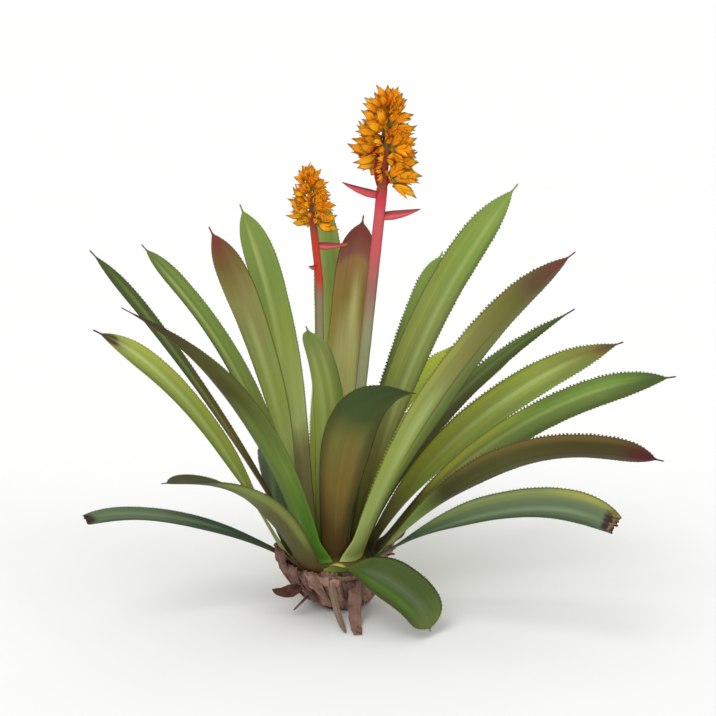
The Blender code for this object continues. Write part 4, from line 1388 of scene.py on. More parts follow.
        (Band(T.YELLOW_GREEN, -0.8, 0.35, 0.7, 0.25, 0.6), Band(T.FRESH, -0.5, 0.5, 0.6, 0.55, 0.9),
         Band(T.FOREST, 0.85, 0.75, 0.85, 0.2, 0.97), Band(T.PALE_LIME, -0.25, 0.2, 0.3, 0.3, 0.85))),
        sheath=0.034, belly=0.56, taper=5.4, roll=44, stem=0.30),
    "leaf_21": Leaf(4, 336, 338, 0.438, 0.246, -10, 0.048, "leaf_olive", LeafFinish(
        ((0.0, T.LIME), (0.22, T.LEAF), (0.34, T.DARK_OLIVE), (0.55, T.OLIVE_DUSK), (0.74, T.DUSKY_OLIVE),
         (0.86, T.DUSKY_OLIVE), (0.935, T.DARK_MAROON), (1.0, T.DARK_MAROON)),
        (Band(T.OLIVE_DUSK, 0.0, 0.5, 0.6, 0.4, 0.75), Band(T.DARK_OLIVE, -0.9, 0.5, 0.7, 0.3, 0.9),
         Band(T.BROWN_OLIVE, 0.85, 0.3, 0.6, 0.4, 0.9))),
        sheath=0.022, belly=0.66, taper=8.0, roll=-54, heading=347, stem=0.51),
    "leaf_22": Leaf(4, 313, 331, 0.404, 0.167, -38, 0.053, "leaf_grey", LeafFinish(
        ((0.0, T.DARK_OLIVE), (0.22, T.SLATE_GREEN), (0.45, T.GREY_GREEN), (0.80, T.GREY_GREEN),
         (0.925, T.GREY_GREEN), (0.934, T.BURNT), (0.950, T.BURNT), (0.954, T.TAN), (0.960, T.BURNT), (1.0, T.BURNT)),
        (Band(T.SAGE, -0.75, 0.45, 0.55, 0.3, 0.92), Band(T.OCHRE_LIME, -0.85, 0.35, 0.8, 0.78, 0.94),
         Band(T.PALE_GREY, 0.15, 0.25, 0.45, 0.3, 0.90), Band(T.SLATE_GREEN, 0.9, 0.45, 0.8, 0.2, 0.96)),
        ragged=0.045, bow=0.0),
        sheath=0.020, belly=0.53, taper=8.0, roll=30, heading=347, stem=0.10, end=LeafEnd.TORN, saw=0.6),
    "leaf_23": Leaf(4, 278, 316, 0.177, 0.008, -76, 0.072, "leaf_green", LeafFinish(
        ((0.0, T.LIME), (0.10, T.WARM_GREEN), (0.3, T.FOREST), (0.75, T.FOREST), (1.0, T.MOSS)),
        (Band(T.GREY_GREEN, -0.1, 0.3, 0.6, 0.3, 0.9), Band(T.DARK_OLIVE, 0.95, 0.4, 0.5, 0.1, 0.9),
         Band(T.VIVID, 0.45, 0.3, 0.3, 0.3, 0.8))),
        sheath=0.030, belly=0.60, taper=7.5, saw=0.5),
    "leaf_24": Leaf(4, 245, 232, 0.313, 0.244, 5, 0.054, "leaf_olive", LeafFinish(
        ((0.0, T.ROOT_BROWN), (0.15, T.OLIVE_DUSK), (0.45, T.OLIVE_DUSK), (0.62, T.MOSS), (0.82, T.DARK_OLIVE),
         (0.93, T.DARK_OLIVE), (1.0, T.BURNT)),
        (Band(T.LIME, -0.7, 0.35, 0.5, 0.2, 0.8), Band(T.DARK_OLIVE, 0.7, 0.5, 0.6, 0.1, 0.9))),
        sheath=0.034, taper=9.0, roll=4, heading=214, stem=0.44, saw=0.5),
    "leaf_25": Leaf(4, 184, 199, 0.332, 0.148, -10, 0.030, "leaf_grey", LeafFinish(
        ((0.0, T.DARK_OLIVE), (0.2, T.SLATE_GREEN), (0.45, T.SLATE_GREEN), (0.65, T.GREY_GREEN),
         (0.92, T.GREY_GREEN), (0.945, T.BURNT), (1.0, T.BURNT)),
        (Band(T.PALE_GREY, 0.3, 0.35, 0.35, 0.35, 0.9), Band(T.SLATE_GREEN, -0.8, 0.5, 0.8, 0.2, 0.95)),
        ragged=0.03),
        sheath=0.018, belly=0.59, taper=8.0, roll=-19, heading=210, stem=0.06, end=LeafEnd.TORN, saw=0.5),
    "leaf_26": Leaf(4, 72, 68, 0.355, 0.169, -20, 0.046, "leaf_green", LeafFinish(
        ((0.0, T.OLIVE), (0.4, T.LIME), (0.9, T.MOSS), (1.0, T.DEEP_BROWN)), (Band(T.PALE_LIME, 0.1, 0.35, 0.5),))),
    "leaf_27": Leaf(4, 118, 108, 0.316, 0.177, -20, 0.046, "leaf_green", LeafFinish(
        ((0.0, T.OLIVE), (0.5, T.LEAF), (0.92, T.MOSS), (1.0, T.DEEP_BROWN)), (Band(T.SAGE, -0.2, 0.35, 0.5),))),
    "leaf_28": Leaf(4, 155, 112, 0.276, 0.140, -20, 0.044, "leaf_grey", LeafFinish(
        ((0.0, T.DARK_OLIVE), (0.5, T.GREY_GREEN), (0.92, T.MOSS), (1.0, T.BURNT)),
        (Band(T.PALE_GREY, 0.0, 0.35, 0.5),))),
}


@dataclass
class Bract:
    """A long folded bract on a spike: its height, turn, length, lift, width, and fold in radians."""

    height: float
    turn: float
    length: float
    lift: float
    width: float
    fold: float

    ROLL = 60.0
    SAG = 0.2
    ROOTED = 0.3
    COLUMNS = 8
    ROWS = 20
    LAST_SHARE = 0.985
    OUTLINE = ((0.0, 0.9), (0.3, 1.0), (0.6, 0.72), (0.85, 0.34), (1.0, 0.0))
    LEAST_WIDTH = 0.0006
    THICKNESS = 0.0013
    MARGIN = 0.0007

    def skin(self, spike: "Spike") -> Skin:
        """Build the bract on a spike.

        Args:
            spike: The spike.

        Returns:
            Its mesh.
        """
        root = spike.axis(self.height) + compass(self.turn) * (spike.neck_radius * self.ROOTED)
        tip = root + compass(self.turn, self.lift) * self.length
        facing = rotated(compass(self.turn, self.lift + 90), self.ROLL, compass(self.turn, self.lift))
        span = tip - root
        rows = []
        for share in spaced(self.ROWS, self.LAST_SHARE):
            place = root.lerp(tip, share) - facing * (self.SAG * span.length * share * (1 - share))
            slope = (span.normalized() - facing * (self.SAG * (1 - 2 * share))).normalized()
            width = max(self.width * read_off(self.OUTLINE, share), self.LEAST_WIDTH)
            rows.append(Row(place, slope, facing.cross(slope), width, self.fold, self.THICKNESS, self.MARGIN, share))
        return Blade(self.COLUMNS).build(rows, tip)


@dataclass
class Spike:
    """One flower spike: its axis, its stalk with bracts, and its head of floret clusters."""

    name: str
    path: tuple[Place, ...]
    stalk_top: float
    stalk_radius: float
    neck_radius: float
    stalk_bracts: tuple[Bract, ...]
    crimson_bracts: tuple[Bract, ...]
    lone_clusters: tuple[tuple[float, float, float, float], ...]
    first_cluster: float
    clusters: int
    reach: float
    lobes: int
    seed: int
    stalk_finish: StalkFinish
    bract_finish: BractFinish

    # Angles in degrees. Florets' lengths and starts are shares of their cluster's length, and widths of the pattern's
    HAND_SPREAD = 36.0
    HAND_SPLAY = 0.24
    HAND_ROLL = 35.0
    OUTER_LOBE = 0.86
    TOP_CLUSTER_LIFT = 62.0
    TOP_CLUSTER_SIZE = 0.66
    PALM_TURNS = (-17.0, 17.0)
    PALM_LEAN = 0.12
    SIDE_TIPS = (-17.0, 17.0)
    FRONT = 270.0
    FRONT_SHARE = 0.80
    STEEP = 40.0
    FRONTAL_REACH = 0.62
    ROOTED = 0.2
    LOBE_START = 0.22
    LOBE_RISE = 0.04
    PALM_RISE = 0.08
    LOBE_WIDTH = 1.02
    FRONTAL_WIDTH = 0.95
    SIDE_WIDTH = 0.62
    PALM_WIDTH = 1.08
    TURN_ERRORS = (-12, 12)
    LIFT_ERRORS = (-6, 6)
    TOP_GAP = 0.003
    CLUSTER_LENGTHS = (0.94, 1.06)
    LOBE_LENGTHS = (0.90, 1.05)
    SIDE_LENGTHS = (0.70, 0.88)
    PALM_LENGTHS = (0.62, 0.78)
    ROUGHNESS = 0.02
    STALK_SIDES = 24
    STALK_RINGS = 61
    AXIS_SIDES = 12
    AXIS_RINGS = 25
    AXIS_SUNK = 0.004
    AXIS_GIRTHS = (0.98, 0.35)
    AXIS_STOPS = ((0.0, T.DULL_RED), (0.42, T.DULL_RED), (0.56, T.OLIVE), (1.0, T.OLIVE))
    CRIMSON = BractFinish(T.CRIMSON, T.DARK_MAROON, T.DARK_MAROON)
    BENDS = (0.18, 0.298, 0.42, 0.47)

    def axis(self, height: float) -> Vector:
        """The place on the spike's axis at a height.

        Args:
            height: The height.

        Returns:
            The place, or the axis's end for a height above it.
        """
        for (low_x, low_y, low_z), (high_x, high_y, high_z) in zip(self.path, self.path[1:]):
            if height <= high_z:
                share = (height - low_z) / (high_z - low_z)
                return Vector((mix(low_x, high_x, share), mix(low_y, high_y, share), height))
        return Vector(self.path[-1])

    def stalk_radius_at(self, height: float) -> float:
        """The stalk's radius, which is evenly less from bend to bend.

        Args:
            height: A height on the stalk.

        Returns:
            The radius there.
        """
        heights = (self.path[0][2], *self.BENDS, self.stalk_top)
        for k, (low, high) in enumerate(zip(heights, heights[1:])):
            if height <= high:
                share = (k + (height - low) / (high - low)) / (len(heights) - 1)
                return mix(self.stalk_radius, self.neck_radius, share)
        return self.neck_radius

    def rod(self, name: str, heights: Sequence[float], radii: Sequence[float], sides: int,
            material: Material, sweep: SweptStalk) -> Object:
        """A rod up the spike's axis.

        Args:
            name: The piece's name.
            heights: Where its rings are.
            radii: Their radii.
            sides: How many sides it has.
            material: Its material.
            sweep: The tree that makes it.

        Returns:
            The piece.
        """
        line = Skin()
        for height, radius in zip(heights, radii):
            line.point(self.axis(height), {"girth": radius})
        line.edges = [(k, k + 1) for k in range(len(heights) - 1)]
        return sweep.apply(line.build(name), Sides=sides, Material=material)

    def make_stalk(self, sweep: SweptStalk) -> None:
        """Make the stalk and its bracts.

        Args:
            sweep: The tree that makes rods.
        """
        foot, top = self.path[0][2] + GAP, self.stalk_top
        heights = [mix(foot, top, step) for step in spaced(self.STALK_RINGS)]
        radii = [self.stalk_radius_at(height) * (1.0 + self.ROUGHNESS * ripple(self.axis(height), 60.0, self.seed))
                 for height in heights]
        material = self.stalk_finish.material(f"stalk_{self.name}")
        stalk = self.rod(f"stalk_{self.name}_rod", heights, radii, self.STALK_SIDES, material, sweep)
        add_piece(stalk, "stalk_pink", f"stalk_{self.name}")
        self.add_bracts(self.stalk_bracts, f"stalk_{self.name}_bract", self.bract_finish)

    def add_bracts(self, bracts: Sequence[Bract], name: str, finish: BractFinish) -> None:
        """Set bracts of one material on the spike.

        Args:
            bracts: The bracts.
            name: What they and the material are named after.
            finish: Their finish.
        """
        material = finish.material(name)
        for number, bract in enumerate(bracts, 1):
            add_piece(bract.skin(self).build(f"{name}_{number}", material), "stalk_pink")

    def cluster_places(self, chance: random.Random) -> list[tuple[float, float, float, float]]:
        """Where the clusters of florets are, drawn in the same order as the solid's.

        Args:
            chance: What draws them.

        Returns:
            Every cluster's height, turn, lift and length.
        """
        places = list(self.lone_clusters)
        top = self.path[-1][2]
        for index in range(self.clusters):
            share = index / (self.clusters - 1)
            turn = index * GOLDEN_TURN + chance.uniform(*self.TURN_ERRORS)
            lift = mix(0, self.TOP_CLUSTER_LIFT, share**1.3) + chance.uniform(*self.LIFT_ERRORS)
            length = self.reach * mix(1.0, self.TOP_CLUSTER_SIZE, share**2) * chance.uniform(*self.CLUSTER_LENGTHS)
            places.append((mix(self.first_cluster, top - self.TOP_GAP, share), turn, lift, length))
        return places

    def head_dots(self) -> Skin:
        """Where the head's florets stand, in clusters like open hands.

        Returns:
            A point for each floret, with what aims and sizes it.
        """
        chance, extra = random.Random(self.seed), random.Random(self.seed + 100)
        dots = Skin()

        def plant(base: Vector, tip: Vector, facing: Vector, fullness: float) -> None:
            """Set one floret from its base to its tip."""
            facts = {"size": (tip - base).length, "shade": extra.random(), "fullness": fullness}
            dots.point(base, facts, {"way": (tip - base).normalized(), "facing": facing})

        for height, turn, lift, length in self.cluster_places(chance):
            root = self.axis(height) + compass(turn) * (self.neck_radius * self.ROOTED)
            along = compass(turn, lift)
            palm = rotated(compass(turn + 90), chance.uniform(-self.HAND_ROLL, self.HAND_ROLL), along)
            side = along.cross(palm).normalized()
            frontal = abs(math.cos(math.radians(turn - self.FRONT))) > self.FRONT_SHARE and lift < self.STEEP
            for lobe in range(self.lobes):
                across = 2 * lobe / (self.lobes - 1) - 1
                reach = length * mix(1.0, self.OUTER_LOBE, abs(across)) * chance.uniform(*self.LOBE_LENGTHS)
                reach *= self.FRONTAL_REACH if frontal else 1.0
                angle = math.radians(self.HAND_SPREAD * across + chance.uniform(-3, 3))
                lean = self.HAND_SPLAY if lobe % 2 else -self.HAND_SPLAY
                tip = root + (along * math.cos(angle) + side * math.sin(angle)) * reach + palm * (length * lean)
                base = root.lerp(tip, self.LOBE_START) + along * (length * self.LOBE_RISE)
                plant(base, tip, palm, self.FRONTAL_WIDTH if frontal else self.LOBE_WIDTH)
                for turned in self.SIDE_TIPS:
                    way = rotated(tip - base, turned + extra.uniform(-4, 4), palm)
                    plant(base, base + way * extra.uniform(*self.SIDE_LENGTHS), palm, self.SIDE_WIDTH)
            if frontal:
                continue
            for index, turned in enumerate(self.PALM_TURNS):
                angle = math.radians(turned + extra.uniform(-5, 5))
                way = along * math.cos(angle) + side * math.sin(angle)
                way += palm * (self.PALM_LEAN if index % 2 else -self.PALM_LEAN)
                base = root + along * (length * self.PALM_RISE)
                plant(base, base + way * (length * extra.uniform(*self.PALM_LENGTHS)), palm, self.PALM_WIDTH)
        return dots

    def make_head(self, spray: FloretSpray, sweep: SweptStalk, floret: Object) -> None:
        """Make the head: florets round a slim axis.

        Args:
            spray: The tree that sets florets.
            sweep: The tree that makes the axis.
            floret: One floret, a metre long, along Z.
        """
        material = FloretFinish().material(f"head_{self.name}_floret")
        obj = self.head_dots().build(f"head_{self.name}_florets")
        spray.apply(obj, Floret=floret, Material=material)
        obj.data.shade_smooth()
        add_piece(obj, "floret_orange", f"head_{self.name}")
        self.make_axis(sweep)

    def make_axis(self, sweep: SweptStalk) -> None:
        """Make the head's slim axis and its crimson bracts.

        Args:
            sweep: The tree that makes rods.
        """
        start, top = self.stalk_top - self.AXIS_SUNK, self.path[-1][2]
        heights = [mix(start, top, step) for step in spaced(self.AXIS_RINGS)]
        radii = [self.neck_radius * mix(*self.AXIS_GIRTHS, step) for step in spaced(self.AXIS_RINGS)]
        material = StalkFinish(self.AXIS_STOPS, start, top).material(f"head_{self.name}_axis")
        axis = self.rod(f"head_{self.name}_axis", heights, radii, self.AXIS_SIDES, material, sweep)
        add_piece(axis, "stalk_pink")
        self.add_bracts(self.crimson_bracts, f"head_{self.name}_bract", self.CRIMSON)


SPIKES = (
    Spike("tall", ((0.0035, 0.0, 0.0716), (0.027, 0.0, 0.298), (0.050, 0.0, 0.516), (0.058, 0.0, 0.600),
                   (0.060, 0.0, 0.664)),
          stalk_top=0.557, stalk_radius=0.0076, neck_radius=0.0070,
          stalk_bracts=(Bract(0.523, 352, 0.052, 10, 0.015, 0.9), Bract(0.550, 186, 0.051, 18, 0.015, 0.9)),
          crimson_bracts=(Bract(0.562, 205, 0.036, 78, 0.013, 0.5), Bract(0.562, 335, 0.028, 66, 0.012, 0.5),
                          Bract(0.592, 190, 0.034, 40, 0.008, 0.5), Bract(0.622, 222, 0.040, -34, 0.008, 0.5)),
          lone_clusters=((0.565, 348, 14, 0.052), (0.580, 264, -30, 0.036)),
          first_cluster=0.590, clusters=22, reach=0.046, lobes=5, seed=13,
          stalk_finish=StalkFinish(((0.0, T.STALK_GREY), (0.62, T.STALK_GREY), (0.73, T.STALK_DULL),
                                    (0.84, T.PINK), (0.93, T.PINK), (0.97, T.ROSE), (1.0, T.DULL_RED)), 0.07, 0.557),
          bract_finish=BractFinish(T.SALMON, T.MAROON, T.MAROON)),
    Spike("short", ((-0.026, -0.006, 0.0716), (-0.0255, -0.006, 0.300), (-0.026, -0.006, 0.440),
                    (-0.0345, -0.006, 0.520), (-0.0385, -0.006, 0.574)),
          stalk_top=0.509, stalk_radius=0.0052, neck_radius=0.0048,
          stalk_bracts=(Bract(0.486, 356, 0.040, 2, 0.012, 0.9), Bract(0.458, 214, 0.013, 6, 0.010, 0.9)),
          crimson_bracts=(), lone_clusters=(),
          first_cluster=0.516, clusters=20, reach=0.034, lobes=4, seed=11,
          stalk_finish=StalkFinish(((0.0, T.STALK_GREY), (0.60, T.STALK_GREY), (0.80, T.STALK_TAUPE),
                                    (0.845, T.SCARLET), (0.95, T.SCARLET), (1.0, T.DULL_RED)), 0.07, 0.509),
          bract_finish=BractFinish(T.SALMON, T.MAROON, T.ORANGE)),
)


# A floret's widths along its length, how far it bows, and how thick it is in the middle and at its margins
FLORET_WIDTHS = ((0.0, 0.18), (0.14, 0.34), (0.36, 0.47), (0.52, 0.39), (0.60, 0.40), (0.78, 0.19), (0.93, 0.04))
FLORET_BOW = 0.12
FLORET_THICKNESS = (0.06, 0.02)


def floret_bract() -> Object:
    """One pointed floret bract, a metre long, along Z, hollowed like a boat, for the trees to repeat.

    Returns:
        The floret.
    """
    rows = []
    for share, width in FLORET_WIDTHS:
        place = Vector((FLORET_BOW * math.sin(math.pi * share), 0.0, share))
        rows.append(Row(place, Vector((0, 0, 1)), Vector((0, 1, 0)), width, 0.9, *FLORET_THICKNESS, share))
    obj = Blade(4).build(rows, Vector((0.0, 0.0, 1.0))).build("floret_pattern")
    for word in ("margin", "way", "face", "tooth_size", "upper"):
        obj.data.attributes.remove(obj.data.attributes[word])
    return obj


HUSK_BROWN = DryFinish(T.MAUVE_BROWN, T.PALE_BROWN, T.DEEP_BROWN)
HUSK_DUSKY = DryFinish(T.DUSKY_BROWN, T.MAUVE_BROWN, T.BURNT)
HUSK_PALE = DryFinish(T.PALE_BROWN, T.PINK_BROWN, T.MAUVE_BROWN)


@dataclass
class DrySheath:
    """One dry leaf base round the stump.

    It has the turn where it starts, its lower and upper edges, how deep its folds are, its seed, its width in
    degrees, how far its top spreads, how far it lies off the stump, and its finish.
    """

    turn: float
    low: float
    high: float
    fold: float
    seed: int
    span: float = 62.0
    spread: float = 0.0
    off: float = 0.0
    finish: DryFinish = HUSK_BROWN

    WHOLE_SPAN = 62.0
    CUFF = 0.0026
    LOWEST = 0.0032
    THICKNESS = 0.0012
    LAP = 0.0026
    CLEARANCE = 0.0009
    LIFT_SPAN = (0.0, 0.15)
    INNER_LIFT = 0.92
    RIM_RISE = 0.0075
    LOW_TEARS = ((0.0035, 3.0, 1), (0.0022, 14.0, 2))
    HIGH_TEARS = ((0.0040, 3.2, 3), (0.0026, 13.0, 4), (0.0012, 41.0, 5))
    DEPTHS = (0.55, 0.35, 0.20)
    COLUMNS = 60
    LEAST_COLUMNS = 10
    LEVELS = 30
    FIBRE_DENSITY = 5000.0
    FIBRE_LENGTH = 0.0032
    FIBRE_WIDTH = 0.0002

    @staticmethod
    def stump_axis(height: float) -> float:
        """How far the stump's middle has leaned over at a height."""
        return CROWN_X * smoothstep(height / CROWN_RIM)

    def crease(self, share: float, up: float) -> float:
        """How far the plate is folded out.

        Args:
            share: How far round it.
            up: How far up it.

        Returns:
            The fold there, from 0 to about 1.
        """
        turned = share * self.span / self.WHOLE_SPAN
        upright = self.folded(Vector((turned * 2.6 + up * 0.5, up * 0.6, self.seed * 3.1)), 2.6)
        level = self.folded(Vector((turned * 1.5, up * 1.9, self.seed * 1.7)), 1.8)
        fine = self.folded(Vector((turned * 7.0, up * 2.0, self.seed * 0.9)), 1.6)
        return upright * self.DEPTHS[0] + level * self.DEPTHS[1] + fine * self.DEPTHS[2]

    @staticmethod
    def folded(place: Vector, folds: float) -> float:
        """A height from 0 to 1 that rises and falls in flat facets with sharp edges, like folded paper."""
        return abs((noise.noise(place) * folds) % 1.0 * 2.0 - 1.0)

    @staticmethod
    def torn(edge: Vector, start: float, tears: Sequence[tuple[float, float, int]]) -> float:
        """A height moved by tears, each of them given by its size, rate and seed."""
        return sum((size * ripple(edge, rate, seed) for size, rate, seed in tears), start)

    def cuff(self, share: float, up: float) -> float:
        """How far the plate's upper part stands out like a folded cuff, with a ragged lower edge."""
        edge = 0.60 + 0.16 * noise.noise(Vector((share * 5.0, self.seed * 2.3, 0.0)))
        return self.CUFF * ease(up - edge, 0.0, 0.07) * (1.0 - 0.5 * ease(up - edge, 0.1, 0.3))

    def wall(self, share: float) -> tuple[list[Vector], list[Vector], list[dict[str, float]]]:
        """One upright line of the plate.

        Args:
            share: How far round it.

        Returns:
            Its outer points, its inner points, and their number attributes.
        """
        turn = self.turn + self.span * share
        edge = Vector((turn * 0.09, self.seed, 0.0))
        low = max(self.torn(edge, self.low, self.LOW_TEARS), self.LOWEST)
        high = self.high + self.RIM_RISE + self.torn(edge, 0.0, self.HIGH_TEARS)
        outer, inner, facts = [], [], []
        for level in range(self.LEVELS + 1):
            up = level / self.LEVELS
            height = mix(low, high, up)
            crease = self.crease(share, up)
            radius = read_off(STUMP_OUTLINE, height) + self.CLEARANCE + self.off + self.LAP * share
            lift = (self.fold * crease + self.cuff(share, up)) * ease(share, *self.LIFT_SPAN) + self.spread * up * up
            middle = Vector((self.stump_axis(height), 0.0, height))
            outer.append(middle + compass(turn) * (radius + self.THICKNESS + lift))
            inner.append(middle + compass(turn) * (radius + lift * self.INNER_LIFT))
            facts.append({"along": up, "across": share * 2 - 1, "fold": crease})
        return outer, inner, facts

    def lay(self, skin: Skin) -> None:
        """Add the folded plate, with its ragged edges, to a skin.

        Args:
            skin: The skin.
        """
        rings = []
        columns = max(self.LEAST_COLUMNS, round(self.COLUMNS * self.span / self.WHOLE_SPAN))
        for column in range(columns + 1):
            outer, inner, facts = self.wall(column / columns)
            front = [skin.point(place, fact) for place, fact in zip(outer, facts)]
            back = [skin.point(place, fact) for place, fact in zip(inner, facts)]
            rings.append(front + back[::-1])
        for low_ring, high_ring in zip(rings, rings[1:]):
            skin.ring_wall(high_ring, low_ring)
        for ring, first in ((rings[0], True), (rings[-1], False)):
            half = self.LEVELS + 1
            front, back = ring[:half], ring[half:][::-1]
            for k in range(self.LEVELS):
                face = (front[k], front[k + 1], back[k + 1], back[k])
                skin.faces.append(face[::-1] if first else face)

    def make(self, name: str, fibres: DryFibres, *nodes: str) -> Object:
        """The plate as a piece of its own, with loose fibres on it.

        Args:
            name: The piece's name.
            fibres: The tree that scatters fibres.
            *nodes: The node that it replaces, if it does.

        Returns:
            The piece.
        """
        skin, material = Skin(), self.finish.material(name)
        self.lay(skin)
        obj = skin.build(name, material)
        fibres.apply(obj, Density=self.FIBRE_DENSITY, Fibre_Length=self.FIBRE_LENGTH,
                     Fibre_Width=self.FIBRE_WIDTH, Seed=self.seed, Material=material)
        return add_piece(obj, "dry_brown", *nodes)


SHEATHS = (
    DrySheath(0, 0.006, 0.052, 0.0050, 20), DrySheath(51, 0.010, 0.053, 0.0045, 21),
    DrySheath(103, 0.004, 0.052, 0.0050, 22), DrySheath(154, 0.014, 0.054, 0.0062, 23),
    DrySheath(206, 0.010, 0.054, 0.0058, 24), DrySheath(257, 0.003, 0.052, 0.0042, 25),
    DrySheath(309, 0.005, 0.053, 0.0054, 26),
)
FLAPS = (
    DrySheath(186, 0.034, 0.080, 0.0070, 71, 34, 0.006, 0.004, HUSK_DUSKY),
    DrySheath(212, 0.036, 0.062, 0.0060, 72, 22, -0.002, 0.006, HUSK_DUSKY),
    DrySheath(232, 0.044, 0.056, 0.0030, 73, 26, -0.006, 0.003, HUSK_BROWN),
    DrySheath(256, 0.046, 0.058, 0.0030, 74, 22, -0.009, 0.003, HUSK_BROWN),
    DrySheath(284, 0.046, 0.055, 0.0030, 75, 24, -0.008, 0.003, HUSK_PALE),
    DrySheath(312, 0.044, 0.059, 0.0036, 76, 20, -0.004, 0.003, HUSK_BROWN),
    DrySheath(328, 0.044, 0.080, 0.0060, 77, 24, 0.012, 0.003, HUSK_PALE),
    DrySheath(4, 0.042, 0.066, 0.0050, 78, 30, 0.002, 0.003, HUSK_BROWN),
    DrySheath(60, 0.042, 0.060, 0.0040, 79, 40, 0.000, 0.003, HUSK_DUSKY),
    DrySheath(118, 0.040, 0.066, 0.0050, 80, 34, 0.004, 0.003, HUSK_BROWN),
)


@dataclass
class DryShreds:
    """Narrow torn leftovers of older sheaths that lie over the whole ones, all round the foot."""

    count: int = 26
    seed: int = 90
    spans: tuple[float, float] = (9.0, 24.0)
    lows: tuple[float, float] = (0.008, 0.030)
    highs: tuple[float, float] = (0.040, 0.052)
    folds: tuple[float, float] = (0.0020, 0.0050)
    offs: tuple[float, float] = (0.0025, 0.0070)
    finishes: tuple[DryFinish, ...] = (HUSK_BROWN, HUSK_PALE, HUSK_DUSKY)

    def build(self) -> None:
        """Lay the shreds, those of one finish in one piece."""
        chance = random.Random(self.seed)
        skins = [Skin() for _ in self.finishes]
        for index in range(self.count):
            turn = 360 * index / self.count + chance.uniform(-5, 5)
            span, low, high = (chance.uniform(*ends) for ends in (self.spans, self.lows, self.highs))
            fold, off = chance.uniform(*self.folds), chance.uniform(*self.offs)
            DrySheath(turn, low, high, fold, self.seed + index, span, 0.0, off).lay(skins[index % len(skins)])
        for number, (skin, finish) in enumerate(zip(skins, self.finishes), 1):
            name = f"dry_shreds_{number}"
            add_piece(skin.build(name, finish.material(name)), "dry_brown")


@dataclass
class DryHusk:
    """A torn dry sheath that still clasps the outer face of one leaf's base.

    It has the leaf, where on it the husk stops, how much wider than the leaf it is, how far its rim flares, its
    seed, its finish, and where on the leaf it starts.
    """

    leaf: str
    stop: float
    widening: float
    flare: float
    seed: int
    finish: DryFinish
    start: float = 0.004

    ROWS = 16
    COLUMNS = 20
    STANDOFF = 0.0017
    RELIEF = 0.0017
    TEAR = 0.0060
    TEAR_SPAN = (0.5, 0.5)
    THICKNESS = 0.0012
    MARGIN = 0.0008
    FOLD_RATE = 110.0
    WIDEST_ANGLE = 1.3

    def make(self, name: str) -> Object:
        """Build the husk along its leaf, pleated, torn and curled away at its rim.

        Args:
            name: The piece's name.

        Returns:
            The piece.
        """
        steps = spaced(self.ROWS)
        rows, _ = LEAVES[self.leaf].rows(self.seed, [mix(self.start, self.stop, step) for step in steps])
        dressed = []
        for step, row in zip(steps, rows):
            away = row.along.cross(row.square_side) * (self.STANDOFF + self.flare * step * step)
            dressed.append(Row(row.middle + away, row.along, row.side, row.width * self.widening,
                               min(row.half_angle * self.widening, self.WIDEST_ANGLE), self.THICKNESS, self.MARGIN,
                               step, relief=self.RELIEF, tear=self.TEAR * ease(step, *self.TEAR_SPAN)))
        skin = Blade(self.COLUMNS, self.seed).build(dressed, None)
        skin.crumple(self.FOLD_RATE, self.seed)
        return add_piece(skin.build(name, self.finish.material(name)), "dry_brown")


HUSKS = (
    DryHusk("leaf_15", 0.075, 1.1, 0.003, 61, HUSK_DUSKY), DryHusk("leaf_25", 0.045, 1.3, 0.002, 62, HUSK_DUSKY),
    DryHusk("leaf_21", 0.100, 1.3, 0.006, 63, HUSK_PALE), DryHusk("leaf_20", 0.110, 1.2, 0.005, 64, HUSK_BROWN),
    DryHusk("leaf_26", 0.080, 1.2, 0.005, 65, HUSK_BROWN), DryHusk("leaf_27", 0.070, 1.2, 0.004, 66, HUSK_PALE),
    DryHusk("leaf_28", 0.090, 1.2, 0.005, 67, HUSK_BROWN), DryHusk("leaf_22", 0.070, 1.6, 0.005, 68, HUSK_PALE),
)


@dataclass
class DryStrip:
    """A dry strip or scrap: its middle line's control points, its side, its widths, and its finish."""

    points: tuple[Place, ...]
    side: Place
    widths: tuple[float, ...]
    half_angle: float
    pointed: bool
    finish: DryFinish

    THICKNESS = 0.0013
    MARGIN = 0.0007
    RELIEF = 0.0011
    WAVE = 0.10
    WAVE_RATE = 160.0
    TWIST = 7.0
    TWIST_RATE = 90.0
    POINT = 0.7
    POINT_SPAN = (0.9, 0.1)
    FOLD_RATE = 120.0
    LAST_SHARE = 0.985
    ROWS = 40
    COLUMNS = 14

    def width_at(self, share: float) -> float:
        """The strip's width.

        Args:
            share: How far along it.

        Returns:
            The width there.
        """
        place = share * (len(self.widths) - 1)
        k = min(int(place), len(self.widths) - 2)
        return mix(self.widths[k], self.widths[k + 1], place - k)

    def make(self, name: str, seed: int) -> Object:
        """Build the strip, creased and ragged.

        Args:
            name: The node that it replaces.
            seed: Its own seed.

        Returns:
            The piece.
        """
        shares = spaced(self.ROWS, self.LAST_SHARE if self.pointed else 1.0)
        trail = even_shares([Vector(place) for place in self.points], [*shares, 1.0])
        rows = []
        for share, (place, along) in zip(shares, trail):
            width = self.width_at(share) * (1.0 + self.WAVE * ripple(place, self.WAVE_RATE, seed))
            if self.pointed:
                width *= 1.0 - ease(share, *self.POINT_SPAN) * self.POINT
            side = rotated(Vector(self.side), self.TWIST * ripple(place, self.TWIST_RATE, seed + 5), along)
            rows.append(Row(place, along, side, width, self.half_angle, self.THICKNESS, self.MARGIN, share,
                            relief=self.RELIEF))
        skin = Blade(self.COLUMNS, seed).build(rows, trail[-1][0] if self.pointed else None)
        skin.crumple(self.FOLD_RATE, seed)
        obj = skin.build(f"{name}_tissue", self.finish.material(name))
        return add_piece(obj, "dry_brown", name)


